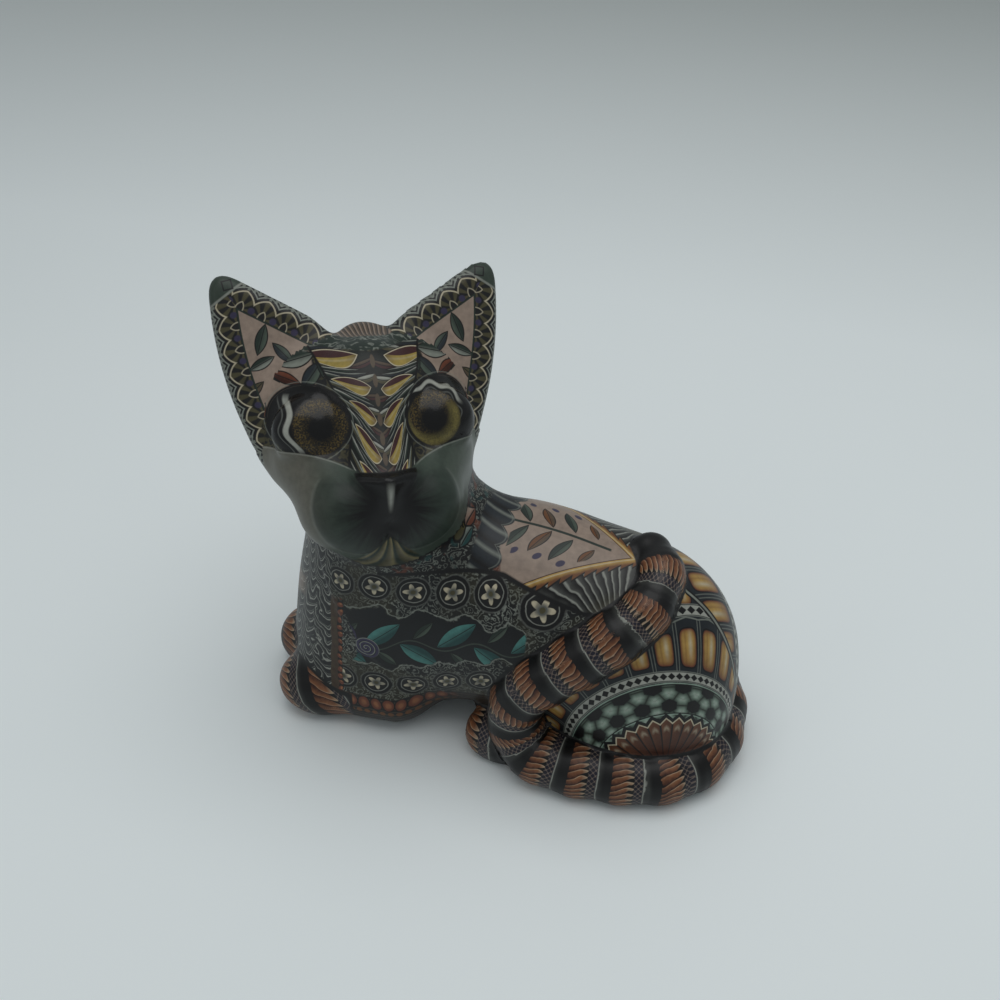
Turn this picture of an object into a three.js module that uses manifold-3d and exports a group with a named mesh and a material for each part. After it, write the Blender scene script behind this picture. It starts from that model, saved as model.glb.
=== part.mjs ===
import * as THREE from "three";
import { mergeVertices } from "three/addons/utils/BufferGeometryUtils.js";
import Module from "manifold-3d";

// A small clay cat, lying down, with its head turned to its left and its tail laid over its flank.
// Millimetres, +Z up. The body runs along X with the head at -X, and the left flank is at -Y.
// The cat is one solid. Rounded lumps of clay are pressed together and smoothed where they meet,
// so the skin is the zero level of one distance field, measured here on a grid of small cells.

// Skin
const CELL = 1.15;
const TRIANGLES = 9000;
const SPARE = 2;

// Body: the chest is an upright column, the trunk and the rump are long eggs
const CHEST = { low: [-24.3, 0.5, 14], high: [-21, -1, 42], rLow: 17.0, rHigh: 14.6 };
const TRUNK = { at: [1, 1.5, 23.4], r: [35, 16.8, 20.4] };
const BELLY = { at: [-2, 6.5, 8], r: [27, 7, 9.5] };
const RUMP = { at: [25, 3, 15.5], r: [17.5, 15, 22] };
const HAUNCH = { at: [24.5, -1.6, 13], r: [17.5, 13.4, 20.5] };
const BODY_BLEND = 9;
const RUMP_BLEND = 8;
const HAUNCH_BLEND = 3;

// Legs and paws
const NEAR_LEG = { from: [-19, -8.8, 7.5], to: [-31, -10.2, 6], rFrom: 7.5, rTo: 6.2 };
const NEAR_PAW = { at: [-34.2, -11.0, 5.4], r: [7.2, 6.6, 5.8] };
const FAR_LEG = { from: [-20, 6, 6], to: [-38, 1, 6], rFrom: 6, rTo: 5.3 };
const FAR_PAW = { at: [-40.4, 0, 5.4], r: [6, 6, 5.6] };
const HIND_FOOT = { at: [3, -10, 4], r: [8, 5.5, 5] };
const LEG_BLEND = 3;
const FOOT_BLEND = 2;

// Tail: x, y, z and radius along its middle line, from the root to the tip
const TAIL = [
  [29, 12, 9, 6.0], [34, 12.5, 6.6, 5.5], [38, 8.6, 5.0, 5.0], [39.6, 1.4, 4.5, 4.9],
  [38.6, -5.6, 4.4, 4.9], [35, -11.1, 4.4, 4.9], [29.5, -14.5, 4.4, 4.8], [22.5, -15.9, 4.4, 4.8],
  [15.5, -15.8, 4.5, 4.8], [9.8, -15.1, 5.8, 4.7], [6.4, -14.6, 9.5, 4.6], [6, -14.8, 15, 4.6],
  [9, -15.3, 20.8, 4.6], [13.2, -14.7, 25, 4.6], [18, -13.1, 29.2, 4.6], [22.6, -10.8, 32.6, 4.6],
  [26.3, -7.4, 35.4, 4.6], [27.4, -3.4, 37.2, 4.6], [26.6, 0.8, 38, 4.5], [24.3, 4, 38, 4.2],
];
const TAIL_STEPS = 3;
const TAIL_BLEND = 1.0;

// Head, in its own frame: x to the picture's right, y to the back of the head, z up
const HEAD = { at: [-24.2, -1, 58], turn: 34, nod: -25, tilt: 5 };
const SKULL = { at: [0, 4, 4], r: [16.5, 13, 11.6] };
const CHEEK = { at: [9.3, -0.5, -4.4], r: [8.7, 8.2, 7.2] };
const MUZZLE = { at: [5.2, -7.2, -11.4], r: [8.4, 8.2, 7.6] };
const CHIN = { at: [0, -7.5, -16.8], r: [6.5, 5.5, 4.2] };
const BRIDGE = { from: [0, -2, 8], to: [0, -12, -7], rFrom: 6.0, rTo: 3.6 };
const CROWN = { at: [0.7, 8, 12.9], r: [4.8, 5.5, 4.5] };
const EYE = { at: [9.3, -4.9, 1.2], r: [7.5, 4.3, 6.1] };
const NOSE = { tip: [0, -18.2, -5.7], foot: [0, -15, -12.4], corner: [4.9, -15, -5.4], inside: [0, -12, -7] };
const HEAD_BLEND = 3;

// Ears: plates with three rounded corners, the outer edge bowed outwards
const EAR = { tip: [24.2, 7, 28], inner: [4.5, 4.5, 15.5], outer: [17.6, 3, -6] };
const EAR_BOW = 2.5;
const EAR_HALF = 1.6;
const EAR_ROUND = 5;
const EAR_BLEND = 4;

// Small vector sums on plain arrays
const sub = (a, b) => [a[0] - b[0], a[1] - b[1], a[2] - b[2]];
const add = (a, b) => [a[0] + b[0], a[1] + b[1], a[2] + b[2]];
const dot = (a, b) => a[0] * b[0] + a[1] * b[1] + a[2] * b[2];
const times = (a, s) => [a[0] * s, a[1] * s, a[2] * s];
const size = (a) => Math.hypot(a[0], a[1], a[2]);
const unit = (a) => times(a, 1 / size(a));
const cross = (a, b) => [
  a[1] * b[2] - a[2] * b[1],
  a[2] * b[0] - a[0] * b[2],
  a[0] * b[1] - a[1] * b[0],
];

// Lumps, as signed distances
function egg(p, { at, r }) {
  const x = p[0] - at[0];
  const y = p[1] - at[1];
  const z = p[2] - at[2];
  const near = Math.hypot(x / r[0], y / r[1], z / r[2]);
  const slope = Math.hypot(x / r[0] ** 2, y / r[1] ** 2, z / r[2] ** 2);
  return (near * (near - 1)) / Math.max(slope, 1e-9);
}

function rod(p, a, b, ra, rb) {
  const ab = sub(b, a);
  const t = Math.min(Math.max(dot(sub(p, a), ab) / dot(ab, ab), 0), 1);
  return size(sub(p, add(a, times(ab, t)))) - (ra + (rb - ra) * t);
}

function join(a, b, blend) {
  const h = Math.max(blend - Math.abs(a - b), 0) / blend;
  return Math.min(a, b) - (h * h * blend) / 4;
}

const meet = (a, b, blend) => -join(-a, -b, blend);

// The plane through three points, facing away from a point inside
function facing(a, b, c, inside) {
  let n = unit(cross(sub(b, a), sub(c, a)));
  if (dot(sub(inside, a), n) > 0) n = times(n, -1);
  return (p) => dot(sub(p, a), n);
}

// An ear's plate: its own flat frame, then the three edges in it
function earPlate() {
  const { tip, inner, outer } = EAR;
  const middle = times(add(add(tip, inner), outer), 1 / 3);
  let out = unit(cross(sub(inner, tip), sub(outer, tip)));
  if (out[1] > 0) out = times(out, -1);
  const along = unit(sub(tip, outer));
  const side = cross(out, along);
  const flat = (p) => [dot(sub(p, middle), along), dot(sub(p, middle), side)];
  const [a, b, c] = [tip, inner, outer].map(flat);
  const edge = (p, q) => {
    const e = [q[0] - p[0], q[1] - p[1]];
    const l = Math.hypot(e[0], e[1]);
    let n = [e[1] / l, -e[0] / l];
    if (-p[0] * n[0] - p[1] * n[1] > 0) n = [-n[0], -n[1]];
    return { n, l, p };
  };
  const top = edge(a, b);
  const base = edge(b, c);
  const long = edge(c, a);
  const arc = (long.l ** 2 / 4 + EAR_BOW ** 2) / (2 * EAR_BOW);
  const centre = [0, 1].map((i) => (a[i] + c[i]) / 2 + long.n[i] * (EAR_BOW - arc));
  return (p) => {
    const [x, y] = flat(p);
    const w = dot(sub(p, middle), out);
    const past = (e) => (x - e.p[0]) * e.n[0] + (y - e.p[1]) * e.n[1];
    const bow = Math.hypot(x - centre[0], y - centre[1]) - arc;
    const rim = meet(meet(past(top), bow, EAR_ROUND), past(base), EAR_ROUND);
    return meet(rim + 0.4, Math.abs(w) - EAR_HALF, 2) - 0.3;
  };
}

const ear = earPlate();
const noseSide = facing(NOSE.tip, NOSE.foot, NOSE.corner, NOSE.inside);

// The head's turn, as rows that carry a point into the head's own frame
const rad = THREE.MathUtils.degToRad;
const turned = new THREE.Matrix4()
  .makeRotationZ(rad(HEAD.turn))
  .multiply(new THREE.Matrix4().makeRotationX(rad(HEAD.nod)))
  .multiply(new THREE.Matrix4().makeRotationY(rad(HEAD.tilt)));
const m = turned.elements;
const headAxes = [m.slice(0, 3), m.slice(4, 7), m.slice(8, 11)];

function head(p) {
  const away = sub(p, HEAD.at);
  if (size(away) > 48) return size(away) - 40;
  const q = headAxes.map((axis) => dot(away, axis));
  const s = [Math.abs(q[0]), q[1], q[2]];
  let d = join(egg(q, SKULL), egg(s, CHEEK), 5);
  d = join(d, egg(s, MUZZLE), 4.5);
  d = join(d, egg(q, CHIN), 3);
  d = join(d, rod(q, BRIDGE.from, BRIDGE.to, BRIDGE.rFrom, BRIDGE.rTo), 4);
  d = join(d, egg(q, CROWN), 1.5);
  const lid = (q[2] - NOSE.tip[2]) - 0.05 * (q[1] - NOSE.tip[1]);
  let nose = meet(meet(noseSide(s), lid, 1), s[0] - NOSE.corner[0] - 0.1, 1.2);
  nose = Math.max(meet(nose, NOSE.foot[2] - q[2], 1), q[1] + 8);
  d = join(d, nose, 0.8);
  d = join(d, egg(s, EYE), 0.8);
  return join(d, ear(s), EAR_BLEND);
}

// The tail is a chain of rods along a smooth curve
const tailLine = new THREE.CatmullRomCurve3(
  TAIL.map(([x, y, z]) => new THREE.Vector3(x, y, z)),
  false,
  "catmullrom",
  0.5,
);
const tailRods = [];
const last = (TAIL.length - 1) * TAIL_STEPS;
for (let i = 0; i <= last; i++) {
  const whole = Math.min(Math.floor(i / TAIL_STEPS), TAIL.length - 2);
  const part = i / TAIL_STEPS - whole;
  const r = TAIL[whole][3] + (TAIL[whole + 1][3] - TAIL[whole][3]) * part;
  tailRods.push({ at: tailLine.getPoint(i / last).toArray(), r });
}

function tail(p) {
  let d = Infinity;
  for (let i = 1; i < tailRods.length; i++) {
    const a = tailRods[i - 1];
    const b = tailRods[i];
    d = Math.min(d, rod(p, a.at, b.at, a.r, b.r));
  }
  return d;
}

function limb(p, leg, paw) {
  return join(rod(p, leg.from, leg.to, leg.rFrom, leg.rTo), egg(p, paw), LEG_BLEND);
}

function cat(p) {
  let d = rod(p, CHEST.low, CHEST.high, CHEST.rLow, CHEST.rHigh);
  d = join(d, egg(p, TRUNK), BODY_BLEND);
  d = join(d, egg(p, BELLY), LEG_BLEND);
  d = join(d, egg(p, RUMP), RUMP_BLEND);
  d = join(d, egg(p, HAUNCH), HAUNCH_BLEND);
  d = join(d, limb(p, NEAR_LEG, NEAR_PAW), LEG_BLEND);
  d = join(d, limb(p, FAR_LEG, FAR_PAW), LEG_BLEND);
  d = join(d, egg(p, HIND_FOOT), FOOT_BLEND);
  d = join(d, head(p), HEAD_BLEND);
  return join(d, tail(p), TAIL_BLEND);
}

function slope(field, p) {
  const e = 0.02;
  const g = [0, 1, 2].map((i) => {
    const a = [...p];
    const b = [...p];
    a[i] += e;
    b[i] -= e;
    return (field(a) - field(b)) / (2 * e);
  });
  return g;
}

// Moves a point onto the skin along the field's slope, by no more than a given way
function settle(field, p, most) {
  let q = p;
  for (let i = 0; i < 3; i++) {
    const d = field(q);
    const g = slope(field, q);
    const l2 = Math.max(dot(g, g), 0.05);
    q = sub(q, times(g, d / l2));
  }
  return size(sub(q, p)) > most ? p : q;
}

// Cuts the grid's cells into six tetrahedra each and takes the skin through them
function skinOf(field, low, high, cell) {
  const n = [0, 1, 2].map((i) => Math.ceil((high[i] - low[i]) / cell) + 1);
  const at = (i, j, k) => [low[0] + i * cell, low[1] + j * cell, low[2] + k * cell];
  const index = (i, j, k) => (k * n[1] + j) * n[0] + i;
  const value = new Float64Array(n[0] * n[1] * n[2]);
  for (let k = 0; k < n[2]; k++)
    for (let j = 0; j < n[1]; j++)
      for (let i = 0; i < n[0]; i++) {
        const v = field(at(i, j, k));
        value[index(i, j, k)] = Math.abs(v) < 1e-3 ? 1e-3 : v;
      }
  const points = [];
  const faces = [];
  const known = new Map();
  const place = (id) => at(id % n[0], Math.floor(id / n[0]) % n[1], Math.floor(id / (n[0] * n[1])));
  const crossing = (a, b) => {
    const key = a < b ? a * value.length + b : b * value.length + a;
    if (!known.has(key)) {
      const t = value[a] / (value[a] - value[b]);
      const p = place(a);
      known.set(key, points.length);
      points.push(add(p, times(sub(place(b), p), t)));
    }
    return known.get(key);
  };
  const face = (a, b, c, inner) => {
    const [p, q, r] = [a, b, c].map((i) => points[i]);
    const out = dot(cross(sub(q, p), sub(r, p)), sub(p, inner));
    faces.push(out > 0 ? [a, b, c] : [a, c, b]);
  };
  const paths = [[1, 3], [1, 5], [2, 3], [2, 6], [4, 5], [4, 6]];
  for (let k = 0; k < n[2] - 1; k++)
    for (let j = 0; j < n[1] - 1; j++)
      for (let i = 0; i < n[0] - 1; i++) {
        const corner = [];
        for (let c = 0; c < 8; c++) corner.push(index(i + (c & 1), j + ((c >> 1) & 1), k + ((c >> 2) & 1)));
        const inside = corner.filter((c) => value[c] < 0).length;
        if (inside === 0 || inside === 8) continue;
        for (const [u, v] of paths) {
          const tet = [corner[0], corner[u], corner[v], corner[7]];
          const ins = tet.filter((c) => value[c] < 0);
          const outs = tet.filter((c) => value[c] >= 0);
          if (ins.length === 0 || outs.length === 0) continue;
          if (ins.length === 1) {
            const t = outs.map((o) => crossing(ins[0], o));
            face(t[0], t[1], t[2], place(ins[0]));
          } else if (outs.length === 1) {
            const t = ins.map((o) => crossing(o, outs[0]));
            const beyond = place(outs[0]);
            const mirror = sub(times(points[t[0]], 2), beyond);
            face(t[0], t[1], t[2], mirror);
          } else {
            const [a, b] = ins;
            const [c, d] = outs;
            const ac = crossing(a, c);
            const ad = crossing(a, d);
            const bd = crossing(b, d);
            const bc = crossing(b, c);
            const inner = times(add(place(a), place(b)), 0.5);
            face(ac, ad, bd, inner);
            face(ac, bd, bc, inner);
          }
        }
      }
  return { points, faces };
}

// Folds short or flat edges away until few enough triangles are left
function simplify({ points, faces }, wanted) {
  const sums = points.map(() => new Float64Array(10));
  const around = points.map(() => new Set());
  const live = faces.map(() => true);
  const normal = (f) => cross(sub(points[f[1]], points[f[0]]), sub(points[f[2]], points[f[0]]));
  faces.forEach((f, i) => {
    const n = normal(f);
    const area = size(n) || 1e-12;
    const u = times(n, 1 / area);
    const w = -dot(u, points[f[0]]);
    const plane = [...u, w];
    let s = 0;
    for (let a = 0; a < 4; a++)
      for (let b = a; b < 4; b++) {
        for (const v of f) sums[v][s] += plane[a] * plane[b] * area;
        s++;
      }
    for (const v of f) around[v].add(i);
  });
  const cost = (s, p) => {
    const [x, y, z] = p;
    return (
      s[0] * x * x + 2 * s[1] * x * y + 2 * s[2] * x * z + 2 * s[3] * x +
      s[4] * y * y + 2 * s[5] * y * z + 2 * s[6] * y + s[7] * z * z + 2 * s[8] * z + s[9]
    );
  };
  const version = new Uint32Array(points.length);
  const heap = [];
  const less = (a, b) => heap[a].cost < heap[b].cost;
  const swap = (a, b) => ([heap[a], heap[b]] = [heap[b], heap[a]]);
  const push = (item) => {
    heap.push(item);
    let i = heap.length - 1;
    while (i > 0 && less(i, (i - 1) >> 1)) {
      swap(i, (i - 1) >> 1);
      i = (i - 1) >> 1;
    }
  };
  const pop = () => {
    const top = heap[0];
    const end = heap.pop();
    if (heap.length) {
      heap[0] = end;
      let i = 0;
      for (;;) {
        let least = i;
        if (2 * i + 1 < heap.length && less(2 * i + 1, least)) least = 2 * i + 1;
        if (2 * i + 2 < heap.length && less(2 * i + 2, least)) least = 2 * i + 2;
        if (least === i) break;
        swap(i, least);
        i = least;
      }
    }
    return top;
  };
  const offer = (a, b) => {
    const s = sums[a].map((v, i) => v + sums[b][i]);
    const half = times(add(points[a], points[b]), 0.5);
    let best = half;
    let least = cost(s, half);
    for (const p of [points[a], points[b], bottom(s, half)]) {
      if (!p) continue;
      const c = cost(s, p);
      if (c < least) {
        least = c;
        best = p;
      }
    }
    const long = size(sub(points[a], points[b]));
    push({ cost: Math.max(least, 0) + 1e-4 * long * long, a, b, p: best, va: version[a], vb: version[b] });
  };
  // The point where the summed planes agree best, if they fix one near the edge
  const bottom = (s, half) => {
    const det =
      s[0] * (s[4] * s[7] - s[5] * s[5]) -
      s[1] * (s[1] * s[7] - s[5] * s[2]) +
      s[2] * (s[1] * s[5] - s[4] * s[2]);
    if (Math.abs(det) < 1e-4) return null;
    const r = [-s[3], -s[6], -s[8]];
    const x = r[0] * (s[4] * s[7] - s[5] ** 2) - s[1] * (r[1] * s[7] - s[5] * r[2]) + s[2] * (r[1] * s[5] - s[4] * r[2]);
    const y = s[0] * (r[1] * s[7] - s[5] * r[2]) - r[0] * (s[1] * s[7] - s[5] * s[2]) + s[2] * (s[1] * r[2] - r[1] * s[2]);
    const z = s[0] * (s[4] * r[2] - r[1] * s[5]) - s[1] * (s[1] * r[2] - r[1] * s[2]) + r[0] * (s[1] * s[5] - s[4] * s[2]);
    const p = [x / det, y / det, z / det];
    return size(sub(p, half)) < 2 ? p : null;
  };
  const ring = (v) => {
    const out = new Set();
    for (const i of around[v]) for (const w of faces[i]) if (w !== v) out.add(w);
    return out;
  };
  const thickness = (a, b, c) => {
    const longest = Math.max(size(sub(a, b)), size(sub(b, c)), size(sub(c, a)));
    return size(cross(sub(b, a), sub(c, a))) / Math.max(longest * longest, 1e-12);
  };
  const turnsOver = (v, other, p) => {
    for (const i of around[v]) {
      const f = faces[i];
      if (f.includes(other)) continue;
      const before = normal(f);
      const [a, b, c] = f.map((w) => (w === v ? p : points[w]));
      const after = cross(sub(b, a), sub(c, a));
      const shape = thickness(a, b, c);
      const was = thickness(...f.map((w) => points[w]));
      if (shape < 0.12 && shape < was) return true;
      if (was > 0.05 && dot(before, after) < 0.3 * size(before) * size(after)) return true;
    }
    return false;
  };
  points.forEach((_, v) => ring(v).forEach((w) => v < w && offer(v, w)));
  let count = faces.length;
  while (count > wanted && heap.length) {
    const { a, b, p: best, va, vb } = pop();
    if (version[a] !== va || version[b] !== vb) continue;
    const ringA = ring(a);
    const ringB = ring(b);
    if (!ringA.has(b)) continue;
    let shared = 0;
    ringA.forEach((w) => ringB.has(w) && shared++);
    if (shared !== 2) continue;
    const spots = [best, times(add(points[a], points[b]), 0.5), points[a], points[b]];
    const p = spots.find((q) => !turnsOver(a, b, q) && !turnsOver(b, a, q));
    if (!p) continue;
    for (const i of [...around[b]]) {
      if (faces[i].includes(a)) {
        live[i] = false;
        count--;
        for (const v of faces[i]) around[v].delete(i);
      } else {
        faces[i] = faces[i].map((v) => (v === b ? a : v));
        around[a].add(i);
      }
    }
    around[b].clear();
    points[a] = p;
    sums[a] = sums[a].map((v, i) => v + sums[b][i]);
    version[a]++;
    version[b]++;
    const near = ring(a);
    near.forEach((w) => offer(Math.min(a, w), Math.max(a, w)));
  }
  const kept = new Map();
  const out = [];
  const spot = (v) => {
    if (!kept.has(v)) {
      kept.set(v, out.length);
      out.push(points[v]);
    }
    return kept.get(v);
  };
  return { faces: faces.filter((_, i) => live[i]).map((f) => f.map(spot)), points: out };
}

const wasm = await Module();
wasm.setup();

function solid(geometry) {
  const g = geometry.clone();
  g.deleteAttribute("normal");
  g.deleteAttribute("uv");
  const merged = mergeVertices(g, 1e-4);
  return new wasm.Manifold(
    new wasm.Mesh({
      numProp: 3,
      vertProperties: new Float32Array(merged.attributes.position.array),
      triVerts: new Uint32Array(merged.index.array),
    }),
  );
}

function geometryOf({ points, faces }) {
  const g = new THREE.BufferGeometry();
  g.setAttribute("position", new THREE.BufferAttribute(new Float32Array(points.flat()), 3));
  g.setIndex(faces.flat());
  return g;
}

const deepCat = (p) => Math.max(cat(p), -SPARE - p[2]);
const skin = simplify(skinOf(deepCat, [-56, -28, -3], [50, 28, 92], CELL), TRIANGLES);
skin.points = skin.points.map((p) => (p[2] > 0.3 - SPARE ? settle(cat, p, 0.6) : p));

// Everything under the floor plane is cut off, which leaves the flat underside
const above = new THREE.BoxGeometry(300, 300, 200).translate(0, 0, 100);
const whole = solid(geometryOf(skin)).intersect(solid(above)).getMesh();
const body = new THREE.BufferGeometry();
body.setAttribute("position", new THREE.BufferAttribute(new Float32Array(whole.vertProperties), 3));
body.setIndex(Array.from(whole.triVerts));

// The origin is the middle of the outline, on the floor
body.computeBoundingBox();
const box = body.boundingBox;
const shift = [-(box.min.x + box.max.x) / 2, -(box.min.y + box.max.y) / 2, -box.min.z];
body.translate(...shift);
body.computeVertexNormals();

const clay = new THREE.MeshStandardMaterial({ color: 0x4a463c, roughness: 0.42, metalness: 0 });
const figurine = new THREE.Mesh(body, clay);
figurine.name = "cat_figurine";

const group = new THREE.Group();
group.add(figurine);

export default group;
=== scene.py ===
import math

import bmesh
import bpy
import numpy as np
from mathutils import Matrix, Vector


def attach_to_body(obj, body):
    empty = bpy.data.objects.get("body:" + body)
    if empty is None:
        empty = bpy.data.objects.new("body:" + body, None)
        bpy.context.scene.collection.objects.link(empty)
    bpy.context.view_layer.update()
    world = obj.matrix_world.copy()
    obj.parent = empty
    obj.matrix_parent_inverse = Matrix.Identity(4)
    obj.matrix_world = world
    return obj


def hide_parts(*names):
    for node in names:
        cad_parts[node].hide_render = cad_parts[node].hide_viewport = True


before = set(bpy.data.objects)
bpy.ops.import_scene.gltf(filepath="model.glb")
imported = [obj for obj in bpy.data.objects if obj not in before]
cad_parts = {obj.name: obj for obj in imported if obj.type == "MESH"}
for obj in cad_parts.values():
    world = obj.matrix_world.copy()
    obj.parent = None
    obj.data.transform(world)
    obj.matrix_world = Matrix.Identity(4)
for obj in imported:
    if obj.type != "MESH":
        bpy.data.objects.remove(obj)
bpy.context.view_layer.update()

bl_info = {
    "name": "Patterned clay cat",
    "version": (1, 0, 0),
    "blender": (4, 5, 0),
    "location": "View3D > Sidebar > Clay cat",
    "description": "Makes a lying clay cat with a skin of patterned cane slices, and its stage",
    "category": "Object",
}

MM_PER_M = 1000.0


def mm(*numbers):
    """A place or a set of sizes, in mm."""
    return np.array(numbers, float)


# The part's frame is moved by this much from the maker's own, in which all the lumps are given
FROM_MAKER = mm(3.779, -2.526, 0.0)

# Lumps of clay: an egg has its middle and three half sizes, a rod has two ends and their radii
CHEST = (mm(-24.3, 0.5, 14), mm(-21, -1, 42), 17.0, 14.6)
TRUNK = (mm(1, 1.5, 23.4), mm(35, 16.8, 20.4))
BELLY = (mm(-2, 6.5, 8), mm(27, 7, 9.5))
RUMP = (mm(24.4, 3, 15.5), mm(17, 14.6, 21.6))
HAUNCH = (mm(24.2, -1.8, 13), mm(17.2, 13.4, 20.2))
NEAR_LEG = (mm(-19, -8.8, 7.5), mm(-31, -10.2, 6), 7.5, 6.2)
NEAR_PAW = (mm(-34.2, -11.0, 5.4), mm(7.2, 6.6, 5.8))
FAR_LEG = (mm(-20, 6, 6), mm(-38, 1, 6), 6, 5.3)
FAR_PAW = (mm(-40.4, 0, 5.4), mm(6, 6, 5.6))
HIND_FOOT = (mm(3.8, -11.8, 4.2), mm(7.8, 6.2, 5.2))
# Tail: x, y, z and radius along its middle line, from the root to the tip
TAIL = (
    (29, 12, 9, 6.0), (34, 12.5, 6.6, 5.5), (38, 8.6, 5.0, 5.0), (39.6, 1.4, 4.5, 4.9),
    (38.6, -5.6, 4.4, 4.9), (35, -11.1, 4.4, 4.9), (29.5, -14.5, 4.4, 4.8), (22.5, -15.9, 4.4, 4.8),
    (15.5, -16.3, 4.5, 4.8), (9.6, -15.8, 5.6, 4.8), (6.4, -14.6, 9.5, 4.6), (6, -14.8, 15, 4.6),
    (9, -15.3, 20.8, 4.6), (13.2, -14.7, 25, 4.6), (18, -13.1, 29.2, 4.6), (22.6, -10.8, 32.8, 4.35),
    (26.2, -7.2, 35.9, 3.95), (27.2, -3.2, 37.7, 3.7), (26.6, 0.8, 38.3, 3.9), (24.3, 4, 38.2, 4.0),
)
# Head, in its own frame: x to the cat's left, y to the back of the head, z up
HEAD_AT = mm(-24.2, -1, 58)
HEAD_TURN, HEAD_NOD, HEAD_TILT = 34, -25, 4.1
SKULL = (mm(0, 4, 4), mm(16.5, 13, 11.6))
CHEEK = (mm(8.9, -0.5, -4.4), mm(8.0, 8.2, 7.2))
MUZZLE = (mm(5.2, -7.2, -11.4), mm(8.4, 8.2, 7.6))
CHIN = (mm(0, -7.5, -16.8), mm(6.5, 5.5, 4.2))
BRIDGE = (mm(0, -2, 8), mm(0, -12, -7), 6.0, 3.6)
CROWN = (mm(0.7, 8, 12.9), mm(4.8, 5.5, 4.5))
EYE = (mm(9.9, -4.9, 1.2), mm(7.0, 4.3, 6.1))
NOSE_TIP, NOSE_FOOT = mm(0, -18.2, -5.7), mm(0, -15, -12.4)
NOSE_CORNER, NOSE_INSIDE = mm(4.9, -15, -5.4), mm(0, -12, -7)
EAR_TIP, EAR_INNER, EAR_OUTER = mm(24.2, 7, 28.5), mm(4.5, 4.5, 17.0), mm(17.6, 3, -6)
EAR_BOW, EAR_HALF, EAR_ROUND = 2.5, 1.6, 5.0

# How softly each lump runs into the rest, in mm
BODY_BLEND = 9
BELLY_BLEND = 3
RUMP_BLEND = 8
HAUNCH_BLEND = 3
LEG_BLEND = 3
FOOT_BLEND = 2
TAIL_BLEND = 1.0
HEAD_BLEND = 3
EAR_BLEND = 4

# Low relief, in mm: the mask's brim dips from under the eyes to the nose, the pads bulge on the muzzle
MASK_STEP = 0.22
BRIM_TOP, BRIM_DIP, BRIM_FROM, BRIM_RUN = -1.5, 3.5, 17.0, 13.0
PAD_STEP = 0.3
PAD_OUT, PAD_DROP, PAD_R = 4.2, 10.7, 7.7
LIP_DEPTH = 0.4
LIP_DROP, LIP_SLOPE = 15.7, 0.8
RING_SWELL = 0.22

# How the fine skin is laid on the shape, in mm
PROBE = 0.02
LAY_STEPS = 3
MOST_MOVED = 1.9
FLOOR_RIM = 0.35

# Where the patterns lie, in mm: the tail's first ring, the haunch's rosette, the border over the spine
RING_FIRST = 28.2
TAIL_R = 4.7
ROSETTE_POLE = mm(0.456, -0.822, -0.342)
ROSETTE_EGG = (mm(28.28, -4.13, 13), mm(17.5, 13.4, 20.5))
SPINE_BORDER = -3.3
SPINE_Y = -1.0
CHEST_AXIS = (-19.5, -2.7)
CHEST_R = 16.5

# How many of each lie all round a rosette
TABS, DIAMONDS, KNOTS, PETALS = 24, 66, 16, 27
DEGREES = 57.3

# Where one patterned sheet ends and the next begins, in mm
LEGS_END = -21
RUMP_LINE = 9.5
BACK_LINE = 39.3
NECK_LINE = -14

# Face slices, in mm out from the middle and up: the iris, and the black almond that it lies in
IRIS_OUT, IRIS_UP, IRIS_R = 9.3, 2.1, 4.5
ALMOND_OUT, ALMOND_UP = 10.8, 2.9
ALMOND_HALF, ALMOND_TALL = 6.1, 5.7


def turned(turn, nod, tilt):
    """The head's three axes as columns, for its angles in degrees."""
    y, p, r = np.radians((turn, nod, tilt))
    about_z = mm(math.cos(y), -math.sin(y), 0, math.sin(y), math.cos(y), 0, 0, 0, 1).reshape(3, 3)
    about_x = mm(1, 0, 0, 0, math.cos(p), -math.sin(p), 0, math.sin(p), math.cos(p)).reshape(3, 3)
    about_y = mm(math.cos(r), 0, math.sin(r), 0, 1, 0, -math.sin(r), 0, math.cos(r)).reshape(3, 3)
    return about_z @ about_x @ about_y


HEAD_AXES = turned(HEAD_TURN, HEAD_NOD, HEAD_TILT)


def egg(p, at, r):
    """How far each place is outside an egg-shaped lump."""
    q = p - at
    near = np.linalg.norm(q / r, axis=-1)
    slope = np.linalg.norm(q / (r * r), axis=-1)
    return near * (near - 1) / np.maximum(slope, 1e-9)


def rod(p, a, b, ra, rb):
    """How far each place is outside a rod with round ends."""
    ab = b - a
    t = np.clip((p - a) @ ab / (ab @ ab), 0, 1)
    return np.linalg.norm(p - a - t[..., None] * ab, axis=-1) - (ra + (rb - ra) * t)


def join(a, b, blend):
    """Two lumps pressed together and smoothed where they meet."""
    h = np.maximum(blend - np.abs(a - b), 0) / blend
    return np.minimum(a, b) - h * h * blend / 4


def meet(a, b, blend):
    """What two lumps share, with its edge rounded."""
    return -join(-a, -b, blend)


def facing(q, a, b, c, inside):
    """How far each place is past the plane through three points."""
    n = np.cross(b - a, c - a)
    n = n / np.linalg.norm(n)
    if (inside - a) @ n > 0:
        n = -n
    return (q - a) @ n


def ear_frame():
    """The ear plate's middle and its axes: along to the tip, across, and out of its back."""
    middle = (EAR_TIP + EAR_INNER + EAR_OUTER) / 3
    out = np.cross(EAR_INNER - EAR_TIP, EAR_OUTER - EAR_TIP)
    out = out / np.linalg.norm(out)
    if out[1] > 0:
        out = -out
    along = (EAR_TIP - EAR_OUTER) / np.linalg.norm(EAR_TIP - EAR_OUTER)
    return middle, np.stack((along, np.cross(out, along), out), axis=1)


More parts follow.
